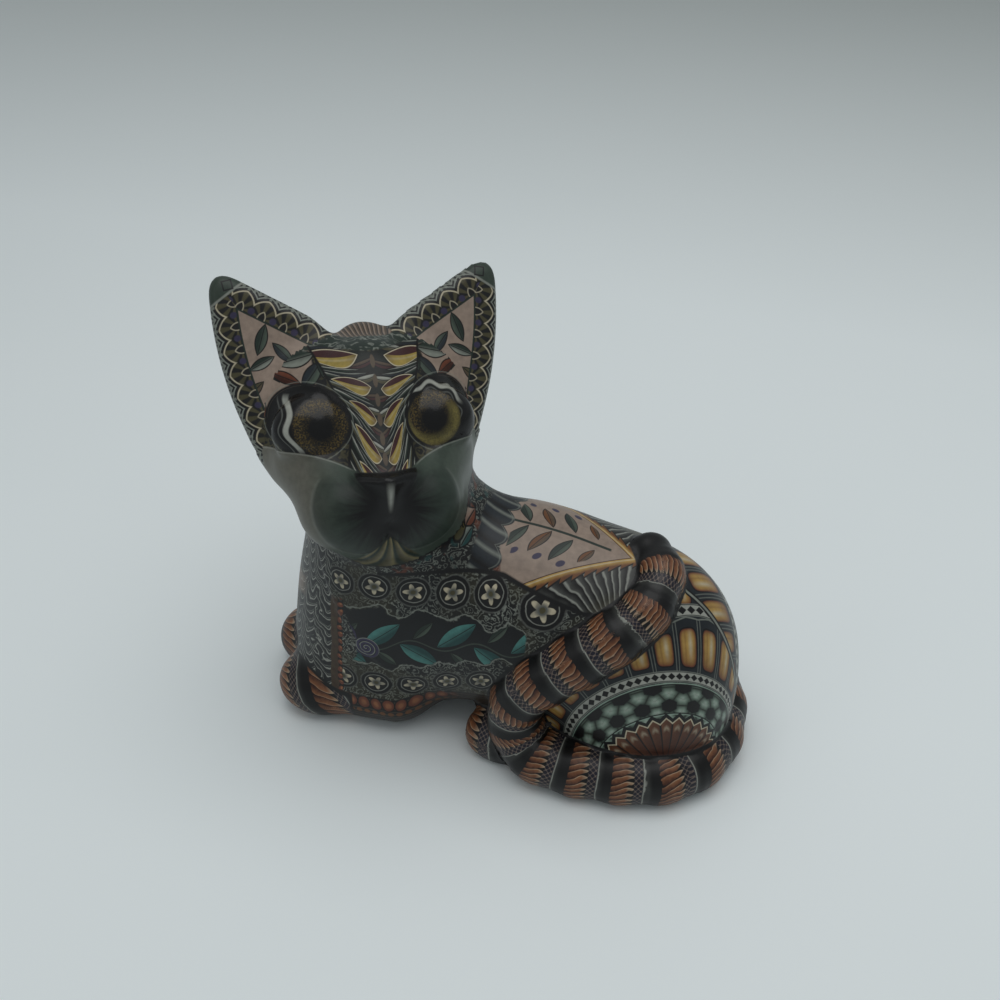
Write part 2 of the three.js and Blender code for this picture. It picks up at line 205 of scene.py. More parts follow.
def ear_edges(flat):
    """How far a point in the plate's plane is past the top edge, the bowed outer edge and the base."""
    middle, axes = ear_frame()
    tip, inner, outer = ((corner - middle) @ axes for corner in (EAR_TIP, EAR_INNER, EAR_OUTER))
    past = []
    for a, b in ((tip, inner), (inner, outer), (outer, tip)):
        e = (b - a)[:2]
        n = mm(e[1], -e[0]) / np.linalg.norm(e)
        if -a[:2] @ n > 0:
            n = -n
        past.append((flat[..., :2] - a[:2]) @ n)
    length = np.linalg.norm(tip - outer)
    arc = (length**2 / 4 + EAR_BOW**2) / (2 * EAR_BOW)
    centre = (tip + outer)[:2] / 2 + n * (EAR_BOW - arc)
    bowed = np.linalg.norm(flat[..., :2] - centre, axis=-1) - arc
    return past[0], bowed, past[1]


def ear(flat):
    """The distance to an ear, which is a plate with round corners."""
    top, bowed, base = ear_edges(flat)
    rim = meet(meet(top, bowed, EAR_ROUND), base, EAR_ROUND)
    return meet(rim + 0.4, np.abs(flat[..., 2]) - EAR_HALF, 2) - 0.3


def head_parts(p):
    """The head's, its mirror's and the ear's coordinates, and the distances to the face and the ears."""
    q = (p - HEAD_AT) @ HEAD_AXES
    s = q.copy()
    s[..., 0] = np.abs(s[..., 0])
    d = egg(q, *SKULL)
    # each lump with how softly it runs into the ones before it, in mm
    for lump, blend in (
        (egg(s, *CHEEK), 5), (egg(s, *MUZZLE), 4.5), (egg(q, *CHIN), 3),
        (rod(q, *BRIDGE), 4), (egg(q, *CROWN), 1.5),
    ):
        d = join(d, lump, blend)
    lid = (q[..., 2] - NOSE_TIP[2]) - 0.05 * (q[..., 1] - NOSE_TIP[1])
    nose = meet(facing(s, NOSE_TIP, NOSE_FOOT, NOSE_CORNER, NOSE_INSIDE), lid, 1)
    nose = meet(nose, s[..., 0] - NOSE_CORNER[0] - 0.1, 1.2)
    nose = np.maximum(meet(nose, NOSE_FOOT[2] - q[..., 2], 1), q[..., 1] + 8)
    d = join(d, nose, 0.8)
    d = join(d, egg(s, *EYE), 0.8)
    middle, axes = ear_frame()
    flat = (s - middle) @ axes
    return q, s, flat, d, ear(flat)


def tail_line():
    """Points along the tail's middle line with their radius and the length run so far, root to tip."""
    rows = np.array(TAIL, float)
    ends = np.vstack((2 * rows[0] - rows[1], rows, 2 * rows[-1] - rows[-2]))
    out = []
    for a, b, c, d in zip(ends[:-3], ends[1:-2], ends[2:-1], ends[3:]):
        for t in (0, 1 / 3, 2 / 3):
            bend = (2 * a - 5 * b + 4 * c - d) * t**2
            twist = (3 * b - a - 3 * c + d) * t**3
            out.append(0.5 * (2 * b + (c - a) * t + bend + twist))
            out[-1][3] = b[3] + (c[3] - b[3]) * t
    out = np.array(out + [rows[-1]])
    steps = np.linalg.norm(np.diff(out[:, :3], axis=0), axis=1)
    return out, np.concatenate(((0,), np.cumsum(steps)))


def tail(p):
    """The distance to the tail, and there the length along it and the way round it, in mm."""
    line, run = tail_line()
    best = np.full(p.shape[:-1], np.inf)
    along = np.zeros_like(best)
    around = np.zeros_like(best)
    up = mm(0, 0, 1)
    side = None
    for i in range(len(line) - 1):
        a, b, ra, rb = line[i, :3], line[i + 1, :3], line[i, 3], line[i + 1, 3]
        ab = b - a
        way = ab / np.linalg.norm(ab)
        # the frame is carried along the line, so that the way round doesn't turn
        side = np.cross(way, up) if side is None else side - (side @ way) * way
        side = side / np.linalg.norm(side)
        raw = (p - a) @ ab / (ab @ ab)
        t = np.clip(raw, 0, 1)
        away = p - a - t[..., None] * ab
        d = np.linalg.norm(away, axis=-1) - (ra + (rb - ra) * t)
        closer = d < best
        angle = np.arctan2(away @ np.cross(way, side), away @ side)
        last = i == len(line) - 2
        s = run[i] + np.where(last & (raw > 1), raw, t) * (run[i + 1] - run[i])
        best = np.where(closer, d, best)
        along = np.where(closer, s, along)
        around = np.where(closer, angle * TAIL_R, around)
    return best, along, around


def limb(p, leg, paw):
    """How far each place is outside a leg with its paw."""
    return join(rod(p, *leg), egg(p, *paw), LEG_BLEND)


def body(p):
    """How far each place is outside the chest, trunk, belly, rump and haunch."""
    d = rod(p, *CHEST)
    d = join(d, egg(p, *TRUNK), BODY_BLEND)
    d = join(d, egg(p, *BELLY), BELLY_BLEND)
    d = join(d, egg(p, *RUMP), RUMP_BLEND)
    return join(d, egg(p, *HAUNCH), HAUNCH_BLEND)


def near_mm(x, half):
    """1 at 0 and 0 from half on, rounded at both ends."""
    t = np.clip(np.abs(x) / half, 0, 1)
    return (1 - t * t) ** 2


def relief(q, s, along, on_tail):
    """Low carving that stands proud of the smooth lumps, in mm."""
    m, z = s[..., 0], s[..., 2]
    front = q[..., 1] < 2
    out = np.zeros(m.shape)
    # the green mask is a sheet of its own with an edge under the eyes
    brim = BRIM_TOP - BRIM_DIP * (np.clip(BRIM_FROM - m, 0, BRIM_RUN) / BRIM_RUN) ** 2
    out += np.where(front & (z < brim + 0.5), MASK_STEP * np.clip((brim - z) / 0.5 + 0.5, 0, 1), 0)
    # muzzle pads end in a soft line over the cheeks, and the mouth parts them from the chin
    pad = np.hypot(m - PAD_OUT, z + PAD_DROP) - PAD_R
    out += np.where(front, PAD_STEP * np.clip(-pad / 0.9 + 0.5, 0, 1) * np.clip((-5 - z) / 4, 0, 1), 0)
    lip = np.abs(z + LIP_DROP + LIP_SLOPE * m)
    out -= np.where(front & (m < 6.5) & (z < -13), LIP_DEPTH * near_mm(lip, 1.0) * near_mm(m, 7), 0)
    # each ring of the tail swells a little
    phase = (along - RING_FIRST) / chosen("tail_ring")
    out += np.where(on_tail, RING_SWELL * np.cos(2 * np.pi * (phase - 0.1)), 0)
    return out


def cat_skin(p):
    """The finished skin's distance, and every coordinate that a pattern follows."""
    torso = body(p)
    near_leg = limb(p, NEAR_LEG, NEAR_PAW)
    far_leg = limb(p, FAR_LEG, FAR_PAW)
    foot = egg(p, *HIND_FOOT)
    base = join(join(join(torso, near_leg, LEG_BLEND), far_leg, LEG_BLEND), foot, FOOT_BLEND)
    q, s, flat, face, ears = head_parts(p)
    head = join(face, ears, EAR_BLEND)
    rest = join(base, head, HEAD_BLEND)
    to_tail, along, around = tail(p)
    d = join(rest, to_tail, TAIL_BLEND)
    d = d - relief(q, s, along, to_tail < rest)
    places = {
        "torso": torso, "limbs": np.minimum(np.minimum(near_leg, far_leg), foot), "base": base,
        "face": face, "ears": ears, "head": head, "rest": rest, "tail": to_tail,
        "q": q, "flat": flat, "along": along, "around": around,
    }
    return d, places


def linear(hex_colour):
    """A hex sRGB colour as linear RGBA."""
    out = []
    for i in (1, 3, 5):
        c = int(hex_colour[i : i + 2], 16) / 255
        out.append(c / 12.92 if c <= 0.04045 else ((c + 0.055) / 1.055) ** 2.4)
    return (*out, 1.0)


def colour_of(name, hex_colour, what):
    """A colour that a user can change."""
    return bpy.props.FloatVectorProperty(
        name=name, description=what, default=linear(hex_colour), size=4, min=0, max=1, subtype="COLOR",
    )


def length_of(name, length, what):
    """A length that a user can change, given in mm."""
    return bpy.props.FloatProperty(
        name=name, description=what, default=length / MM_PER_M, min=0.0001, precision=5, unit="LENGTH",
    )


class ClayCatColours(bpy.types.PropertyGroup):
    """The coloured clays that the canes are built from, and the stage's papers"""

    black: colour_of("Black", "#0e0e0f", "Outlines, bands and the nose")
    coal: colour_of("Coal", "#171819", "Dark ground of the marbling")
    slate: colour_of("Slate", "#20272d", "Blue-grey ground")
    grey: colour_of("Grey", "#5a5c58", "Fade of the bands")
    # Pale also paints the highlight down the nose's ridge
    pale: colour_of("Pale", "#a5a79e", "Pale lines")
    haze: colour_of("Haze", "#868b82", "Grey-green lines")
    cream: colour_of("Cream", "#c4baa0", "Light edges")
    rust: colour_of("Rust", "#6b3b29", "Beads and the tabs' edges")
    petal: colour_of("Petal", "#9a6644", "Tan side of the petals")
    brick: colour_of("Brick", "#3b1c13", "Dark foot of the petals")
    gold: colour_of("Gold", "#b59a4c", "Leaves of the brow")
    honey: colour_of("Honey", "#b8954f", "Tabs and the panel's teeth")
    ochre: colour_of("Ochre", "#6d4424", "Dark side of the tabs and teeth")
    olive: colour_of("Olive", "#4b4731", "Arches of the ears, and the chin")
    sage: colour_of("Sage", "#4a564b", "Green of the mask")
    moss: colour_of("Moss", "#222f28", "Dark green")
    mint: colour_of("Mint", "#93a99a", "Light green of the weave")
    teal: colour_of("Teal", "#1d4443", "Dark side of the blue leaves")
    aqua: colour_of("Aqua", "#48807a", "Light side of the blue leaves")
    violet: colour_of("Violet", "#37334d", "Berries, coils and the lace's ground")
    taupe: colour_of("Taupe", "#554839", "Stems and the crown")
    beige: colour_of("Beige", "#8c7c70", "Ground of the back's panel and the ears")
    blush: colour_of("Blush", "#a59283", "Lighter clouds in that ground")
    burgundy: colour_of("Burgundy", "#402223", "Dark side of the brow's leaves")
    amber: colour_of("Amber", "#30261a", "Iris")
    lemon: colour_of("Lemon", "#857a42", "Yellow crescent of the iris")
    paper: colour_of("Paper", "#eaf1f2", "Floor")
    sheet: colour_of("Sheet", "#f4f8f9", "Lighter clouds in the floor")
    # painted shade: the floor's colour far off, where the light falls off
    shade: colour_of("Shade", "#b9bfbd", "Floor far off")
    tent: colour_of("Tent", "#f4fafc", "Light from all round")


class ClayCatSizes(bpy.types.PropertyGroup):
    """The sizes of the skin and of its patterns"""

    voxel: length_of("Skin fineness", 0.5, "Width of the skin's smallest faces")
    seam: length_of("Seam", 0.34, "Half the width of the hair line between two sheets")
    tail_ring: length_of("Tail ring", 7.31, "From one ring of the tail to the next")
    paw_ring: length_of("Paw ring", 9.6, "From one ring of a paw to the next")
    slice_gap: length_of("Slice gap", 6.45, "From one round slice of the flank to the next")
    arch: length_of("Ear arch", 3.9, "From one arch of an ear's border to the next")


def clay(name):
    """The colour that the user chose for a clay."""
    return tuple(getattr(bpy.context.scene.clay_cat_colours, name))


def chosen(name):
    """The size that the user chose, in mm."""
    return getattr(bpy.context.scene.clay_cat_sizes, name) * MM_PER_M


def node(tree, kind, feeds=(), out=0, **settings):
    """Adds a node with its settings, feeds its inputs with sockets or values, and returns one output."""
    made = tree.nodes.new(kind)
    for name, value in settings.items():
        setattr(made, name, value)
    for place, value in dict(feeds).items():
        value = value.socket if isinstance(value, Wire) else value
        if isinstance(value, bpy.types.NodeSocket):
            tree.links.new(value, made.inputs[place])
        else:
            made.inputs[place].default_value = value
    return made.outputs[out] if len(made.outputs) else None


class Wire:
    """A number on its way from one node to the next, so that a pattern's sums can be written out."""

    def __init__(self, tree, socket):
        self.tree = tree
        self.socket = socket

    def sum(self, operation, *others, first=None, clamp=False):
        feeds = [self if first is None else first, *others]
        made = node(self.tree, "ShaderNodeMath", enumerate(feeds), operation=operation, use_clamp=clamp)
        return Wire(self.tree, made)

    def __add__(self, other):
        return self.sum("ADD", other)

    __radd__ = __add__

    def __sub__(self, other):
        return self.sum("SUBTRACT", other)

    def __rsub__(self, other):
        return self.sum("SUBTRACT", self, first=other)

    def __mul__(self, other):
        return self.sum("MULTIPLY", other)

    __rmul__ = __mul__

    def __truediv__(self, other):
        return self.sum("DIVIDE", other)

    def __rtruediv__(self, other):
        return self.sum("DIVIDE", self, first=other)

    def __abs__(self):
        return self.sum("ABSOLUTE")

    def least(self, other):
        return self.sum("MINIMUM", other)

    def most(self, other):
        return self.sum("MAXIMUM", other)


def places(tree, name):
    """One of the mesh's sets of pattern coordinates, as three numbers."""
    vector = node(tree, "ShaderNodeAttribute", out="Vector", attribute_name=name)
    split = node(tree, "ShaderNodeSeparateXYZ", {0: vector}).node
    return [Wire(tree, split.outputs[i]) for i in range(3)]


def rise(x, at, soft=0.12):
    """0 below the edge and 1 above it, with a soft step between."""
    if isinstance(at, Wire):
        return (x - at).sum("MULTIPLY_ADD", 1 / soft, 0.5, clamp=True)
    return x.sum("MULTIPLY_ADD", 1 / soft, 0.5 - at / soft, clamp=True)


def fall(x, at, soft=0.12):
    """1 below the edge and 0 above it."""
    return 1 - rise(x, at, soft)


def close(x, at, half, soft=0.12):
    """1 within half of a place, 0 beyond it."""
    off = x if not isinstance(at, Wire) and at == 0 else x - at
    return fall(abs(off), half, soft)


def span(x, y):
    """How far a place is from the middle."""
    return (x * x + y * y).sum("SQRT")


def angle(y, x):
    """Which way a place lies from the middle, in radians."""
    return y.sum("ARCTAN2", x)


def cell(x, pitch, shift=0.0):
    """How far a place is from the nearest of many like marks, and that mark's number."""
    turns = x.sum("MULTIPLY_ADD", 1 / pitch, shift)
    count = turns.sum("ROUND")
    return (turns - count) * pitch, count


def paint(tree, ground, *coats):
    """Lays coats over a ground in turn, each where its mask is 1. A colour is a clay's name or a socket."""
    ground = clay(ground) if isinstance(ground, str) else ground
    for mask, coat in coats:
        coat = clay(coat) if isinstance(coat, str) else coat
        ground = node(tree, "ShaderNodeMix", {0: mask, 6: ground, 7: coat}, out=2, data_type="RGBA")
    return ground


def drift(tree, scale, detail=2.0, vector=None):
    """Slow unevenness over the object's own place, its scale in turns per mm."""
    if vector is None:
        vector = node(tree, "ShaderNodeTexCoord", out="Object")
        scale = scale * MM_PER_M
    feeds = {"Vector": vector, "Scale": scale, "Detail": detail}
    return Wire(tree, node(tree, "ShaderNodeTexNoise", feeds))


def marbled(tree, under, line, fine=0.42, bands=9.0, width=0.13):
    """Clay rolled of two colours: thin wandering lines like the contours of a map."""
    off, _ = cell(drift(tree, fine, 3.0) * bands, 1.0)
    dim = rise(drift(tree, 0.17, 1.0), 0.5, 0.3) * 0.55 + 0.4
    return paint(tree, under, (close(off, 0, width, 0.2) * dim, line))


def finish(tree, colour, rough=0.42, seam=None, gloss=None):
    """Baked polymer clay, sanded and buffed by hand: a soft sheen that wavers where the buffing was uneven.

    PVC clay is about IOR 1.5, and is set lower here because the fine sanding scatters its shine. The marks
    of fine grit are far too small to show, so waves of a millimetre and bumps of 0.4 mm stand for them.
    """
    mottle = drift(tree, 0.9, 3.0)
    shade = node(tree, "ShaderNodeHueSaturation", {"Color": colour, "Value": mottle * 0.5 + 0.52})
    if seam is not None:
        shade = paint(tree, shade, (seam, "black"))
    roughness = mottle * 0.14 + (rough - 0.07)
    if gloss is not None:
        roughness = roughness * (1 - gloss * 0.62)
    bump = node(tree, "ShaderNodeBump", {"Strength": 0.12, "Distance": 0.0001, "Height": drift(tree, 2.5)})
    feeds = {"Base Color": shade, "Roughness": roughness, "IOR": 1.38, "Normal": bump}
    shader = node(tree, "ShaderNodeBsdfPrincipled", feeds)
    node(tree, "ShaderNodeOutputMaterial", {0: shader})


def new_material(name):
    """An empty node material."""
    made = bpy.data.materials.new(name)
    made.use_nodes = True
    made.node_tree.nodes.clear()
    return made, made.node_tree


def seams(tree, *kinds):
    """A dark hair line where one patterned sheet ends against another."""
    names = ("tail", "head", "ear", "paw", "rosette", "back")
    known = dict(zip(names, places(tree, "edges_head") + places(tree, "edges_body")))
    out = None
    for kind in kinds:
        # wider in the tail's groove, finer round the ears
        half = chosen("seam") + {"tail": 0.16, "ear": -0.12}.get(kind, 0.0)
        line = close(known[kind], 0, half, 0.25)
        out = line if out is None else out.most(line)
    return out


def ring_pattern(tree, phase, across, pitch, width=1.05):
    """One ring after another: rust petals, a band that fades from black to a pale edge, and lace."""
    uneven = drift(tree, 0.3, 1.0)
    wave = phase + (across * 0.55).sum("SINE") * 0.014 + (uneven - 0.5) * 0.05
    off = (wave - wave.sum("ROUND")) * pitch
    gap = (wave - 0.225).sum("FRACT")
    # petals lie side by side: broad dark feet at the band, pale points on the lace before it
    y, _ = cell(across + off * 0.34 + uneven * 1.2, width)
    reach = off * (1 / (0.235 * pitch))
    taper = (reach * -1.0).most(0.0).sum("POWER", 2.2) * 0.85 + reach.most(0.0).sum("POWER", 6.0) * 0.35
    inner = (1 - taper) * (width * 0.5) - abs(y)
    lit = rise(y, width * -0.12, width * 0.9)
    tone = lit * 0.85 + fall(reach, -0.1, 2.2) * 0.55 + drift(tree, 1.6, 1.0) * 0.5 - 0.52
    petal = paint(
        tree, "brick", (tone, "petal"),
        (close(inner, 0.14, 0.05, 0.08) * rise(y, 0.0, 0.3) * fall(reach, 0.5, 1.2) * 0.55, "cream"),
        (fall(reach, -0.72, 0.5) * 0.5, "cream"),
    )
    colour = paint(tree, "black", (rise(inner, 0.045, 0.08), petal))
    # the band's fade
    fade = rise(gap, 0.25, 0.16)
    # lace of tiny diamonds, drawn coarser than a cut cane has them so that they show
    u = (gap - 0.447) * pitch
    mesh_a, _ = cell(across + u, 0.95)
    mesh_b, _ = cell(across - u, 0.95)
    net = close(mesh_a, 0, 0.06, 0.1).most(close(mesh_b, 0, 0.06, 0.1))
    dots = fall(span(mesh_a, mesh_b), 0.22, 0.1)
    lace = paint(tree, "black", (uneven * 0.4, "violet"), (net.most(dots) * 0.42, "blush"))
    band = paint(
        tree, "black", (fade * fade * 0.6, "grey"),
        (close(gap, 0.322, 0.013, 0.016) * (uneven * 0.9 + 0.3), "pale"), (rise(gap, 0.345, 0.01), lace),
    )
    return paint(tree, colour, (fall(gap, 0.55, 0.01), band))


def tail_clay():
    """Polymer clay: slices of one striped cane wrapped round a rolled tail.

    The eye gets rings that repeat but never quite alike, because each slice was stretched by hand.
    """
    material, tree = new_material("polymer_clay_tail_rings")
    along, around, _ = places(tree, "tail_run")
    ring = chosen("tail_ring")
    tip = 111.6
    colour = ring_pattern(tree, (along - RING_FIRST) / ring, around, ring)
    colour = paint(tree, colour, (rise(along, tip, 0.6), "black"))
    finish(tree, colour, 0.4, seams(tree, "tail"))
    return material


def paw_clay():
    """Polymer clay: slices of the same striped cane before it was drawn out thin.

    The eye gets the tail's pattern again, half as large again.
    """
    material, tree = new_material("polymer_clay_paw_rings")
    along, around, _ = places(tree, "limb_run")
    ring = chosen("paw_ring")
    colour = ring_pattern(tree, along / ring, around, ring, 1.5)
    finish(tree, colour, 0.4, seams(tree, "tail", "head", "paw"))
    return material


def weave(tree, x, y):
    """Canework of three ways of strands, pale where they cross and dark between; cells are 1 wide."""
    rise_of = math.sqrt(3)
    ax, _ = cell(x, 1.0)
    ay, _ = cell(y, rise_of)
    bx, _ = cell(x, 1.0, 0.5)
    by, _ = cell(y, rise_of, 0.5)
    at_a = rise(span(bx, by) - span(ax, ay), 0.0, 0.01)
    qx = abs(ax * at_a + bx * (1 - at_a))
    qy = abs(ay * at_a + by * (1 - at_a))
    edge = 0.5 - qx.most(qx * 0.5 + qy * (rise_of / 2))
    crossing = span(qx, qy)
    # how far along its edge of the cell a point lies from that edge's middle
    inward = 0.5 - edge
    off = (crossing * crossing - inward * inward).most(0.0).sum("SQRT")
    strand = paint(
        tree, "sage", (rise(off, 0.13, 0.2), "mint"), (rise(off, 0.22, 0.12) * 0.5, "pale"),
        (fall(off, 0.02, 0.05) * 0.85, "black"), (rise(edge, 0.15, 0.12) * 0.75, "moss"),
    )
    return paint(tree, "black", (fall(edge, 0.215, 0.04), strand))


def rosette_clay():
    """Polymer clay: slices of five canes laid in rings round a fan of petals.

    The eye gets warm tabs that seem to glow between slate bars, because honey clay shades into rust.
    """
    material, tree = new_material("polymer_clay_haunch_rosette")
    a, b, c = places(tree, "rosette_place")
    _, _, side_of = places(tree, "flank_run")
    far = rise(side_of, SPINE_BORDER, 0.02)
    out = angle(span(a, b), c) * DEGREES * (1 - far * 0.13)
    turn = angle(b, a)
    uneven = drift(tree, 0.5)
    # the tabs are tallest towards the back's end
    bulge = 1 - ((turn - 1.0) / 0.8).sum("POWER", 2.0)
    height = bulge.most(0.0) * 13.0 + 9.0
    slate = paint(tree, "slate", (uneven * 0.6, "coal"))
    step, _ = cell(turn, math.tau / TABS)
    side = step * (TABS / math.tau)
    rim = height + 67.4
    line = close(abs(side), 0.44, 0.014, 0.03) * 0.7
    colour = paint(tree, slate, (line * fall(out, rim, 0.4), "haze"))
    # one row of tabs, and a second past the diamonds
    for middle, tall in ((height * 0.5 + 63.4, height * 0.5), (rim + 11.8, 4.6)):
        u = side * 2.75
        w = (out - middle) / tall
        corner = abs(u).sum("POWER", 3.6) + abs(w).sum("POWER", 5.0)
        tab = paint(
            tree, "rust", (fall(corner, 0.36, 0.7), "honey"),
            (close(u, -0.24, 0.16, 0.36) * close(w, 0.1, 0.55, 0.7) * 0.9, "cream"),
            (close(u, 0.34, 0.08, 0.24) * 0.5, "ochre"), (fall(w, -0.35, 0.9) * 0.45, "rust"),
        )
        colour = paint(tree, colour, (fall(corner, 1.25, 0.14), "black"), (fall(corner, 0.82, 0.14), tab))
    # roofs over the tabs
    roof = rim - abs(side) * 2.6 + 1.2
    colour = paint(tree, colour, (close(out, roof, 0.36, 0.3) * 0.8, "haze"))
    # two chains of diamonds
    spot, _ = cell(turn, math.tau / DIAMONDS)
    for middle, half in ((58.4, 1.9), (rim + 4.6, 2.1)):
        cross = abs(spot) * (DIAMONDS / math.tau * 2) + abs(out - middle) / half
        chain = paint(
            tree, "pale", (fall(cross, 0.95, 0.14), "black"),
            (rise(abs(out - middle), half + 0.25, 0.3), "coal"),
        )
        colour = paint(
            tree, colour, (close(out, middle, half + 0.8, 0.3), chain),
            (close(abs(out - middle), half + 0.8, 0.22, 0.3) * 0.8, "haze"),
        )
    # beyond them, slate with folded olive leaves
    beyond = leaf(tree, slate, step * 16.0, (out - rim - 20.5) * 0.34, 4.0, 1.5, "moss", "olive")
    colour = paint(tree, colour, (rise(out, rim + 17.0, 0.4), beyond))
    # the weave
    middle = (out - 46.4) / 7.9
    ring = paint(
        tree, weave(tree, turn * (KNOTS / math.tau), middle * 0.68 + 0.3),
        (close(abs(middle), 1.0, 0.06, 0.05), "black"), (close(abs(middle), 1.06, 0.03, 0.05), "mint"),
    )
    colour = paint(tree, colour, (fall(out, 55.2, 0.3), ring))
    # the fan of petals
    blade, _ = cell(turn, math.tau / PETALS)
    share = abs(blade) * (PETALS / math.tau * 2)
    edge = 35.4 - share * 3.2
    depth = out / edge
    tone = rise(depth, 0.66, 0.7) * (rise(blade, 0.02, 0.2) * 0.5 + 0.5)
    fan = paint(
        tree, "brick", (tone * 0.42, "petal"), (rise(share, 0.84, 0.16), "black"),
        (close(depth, 0.86, 0.03, 0.06) * fall(share, 0.5, 0.4) * 0.5, "cream"),
    )
    colour = paint(
        tree, colour, (fall(out, edge + 3.4, 0.3), "black"), (fall(out, edge + 0.9, 0.3), "cream"),
        (fall(out, edge, 0.3), fan),
    )
    # where the two sides meet over the spine
    colour = paint(
        tree, colour, (close(side_of, SPINE_BORDER, 0.55, 0.1), "black"),
        (close(side_of, SPINE_BORDER, 0.2, 0.1), "haze"),
    )
    finish(tree, colour, 0.4, seams(tree, "tail", "head", "paw", "rosette"))
    return material


def cane_slice(tree, colour, x, y, number):
    """A round slice: black rim, thin pale ring, and a small five-petalled flower round an olive eye."""
    uneven = drift(tree, 0.5)
    r = span(x * 0.94, y) + (uneven - 0.5) * 0.5
    turn = angle(y, x) * 5.0 + number * 1.7
    lobes = turn.sum("COSINE") * 0.42 + 1.16
    petals = paint(tree, "grey", (rise(r, 0.8, 0.5), "cream"), (rise(uneven, 0.55, 0.2) * 0.6, "grey"))
    return paint(
        tree, colour, (fall(r, 2.85, 0.2) * 0.7, "grey"), (fall(r, 2.62, 0.14), "black"),
        (close(r, 1.98, 0.07, 0.1) * 0.6, "pale"), (fall(r, 1.85, 0.12), "coal"),
        (fall(r, lobes, 0.14), petals), (fall(r, 0.42, 0.12), "olive"),
    )


def leaf(tree, colour, x, y, length, width, dark, light):
    """One pointed leaf along x, half in shade, with a dark edge and rib."""
    inner = width * 0.5 - (x * x) * (2 * width / length**2) - abs(y)
    blade = paint(
        tree, dark, (rise(y, 0.1, width * 0.5), light),
        (close(y, 0, 0.07, 0.08) * rise(inner, 0.1, 0.1), "black"),
    )
    return paint(tree, colour, (rise(inner, -0.2, 0.1), "black"), (rise(inner, 0.0, 0.1), blade))


def turned_leaf(tree, colour, x, y, degrees, *shape):
    """A leaf that points the given way."""
    c, s = math.cos(math.radians(degrees)), math.sin(math.radians(degrees))
    return leaf(tree, colour, x * c + y * s, y * c - x * s, *shape)


def bud(tree, colour, x, y, r):
    """A furled bud: a violet coil with pale edges."""
    out = span(x, y)
    coil, _ = cell(out * 1.25 + angle(y, x) * 0.16, 1.0)
    petals = paint(
        tree, "violet", (close(coil, 0, 0.1, 0.14), "haze"), (close(coil, 0.22, 0.09, 0.12), "black"),
    )
    return paint(tree, colour, (fall(out, r, 0.2), petals))


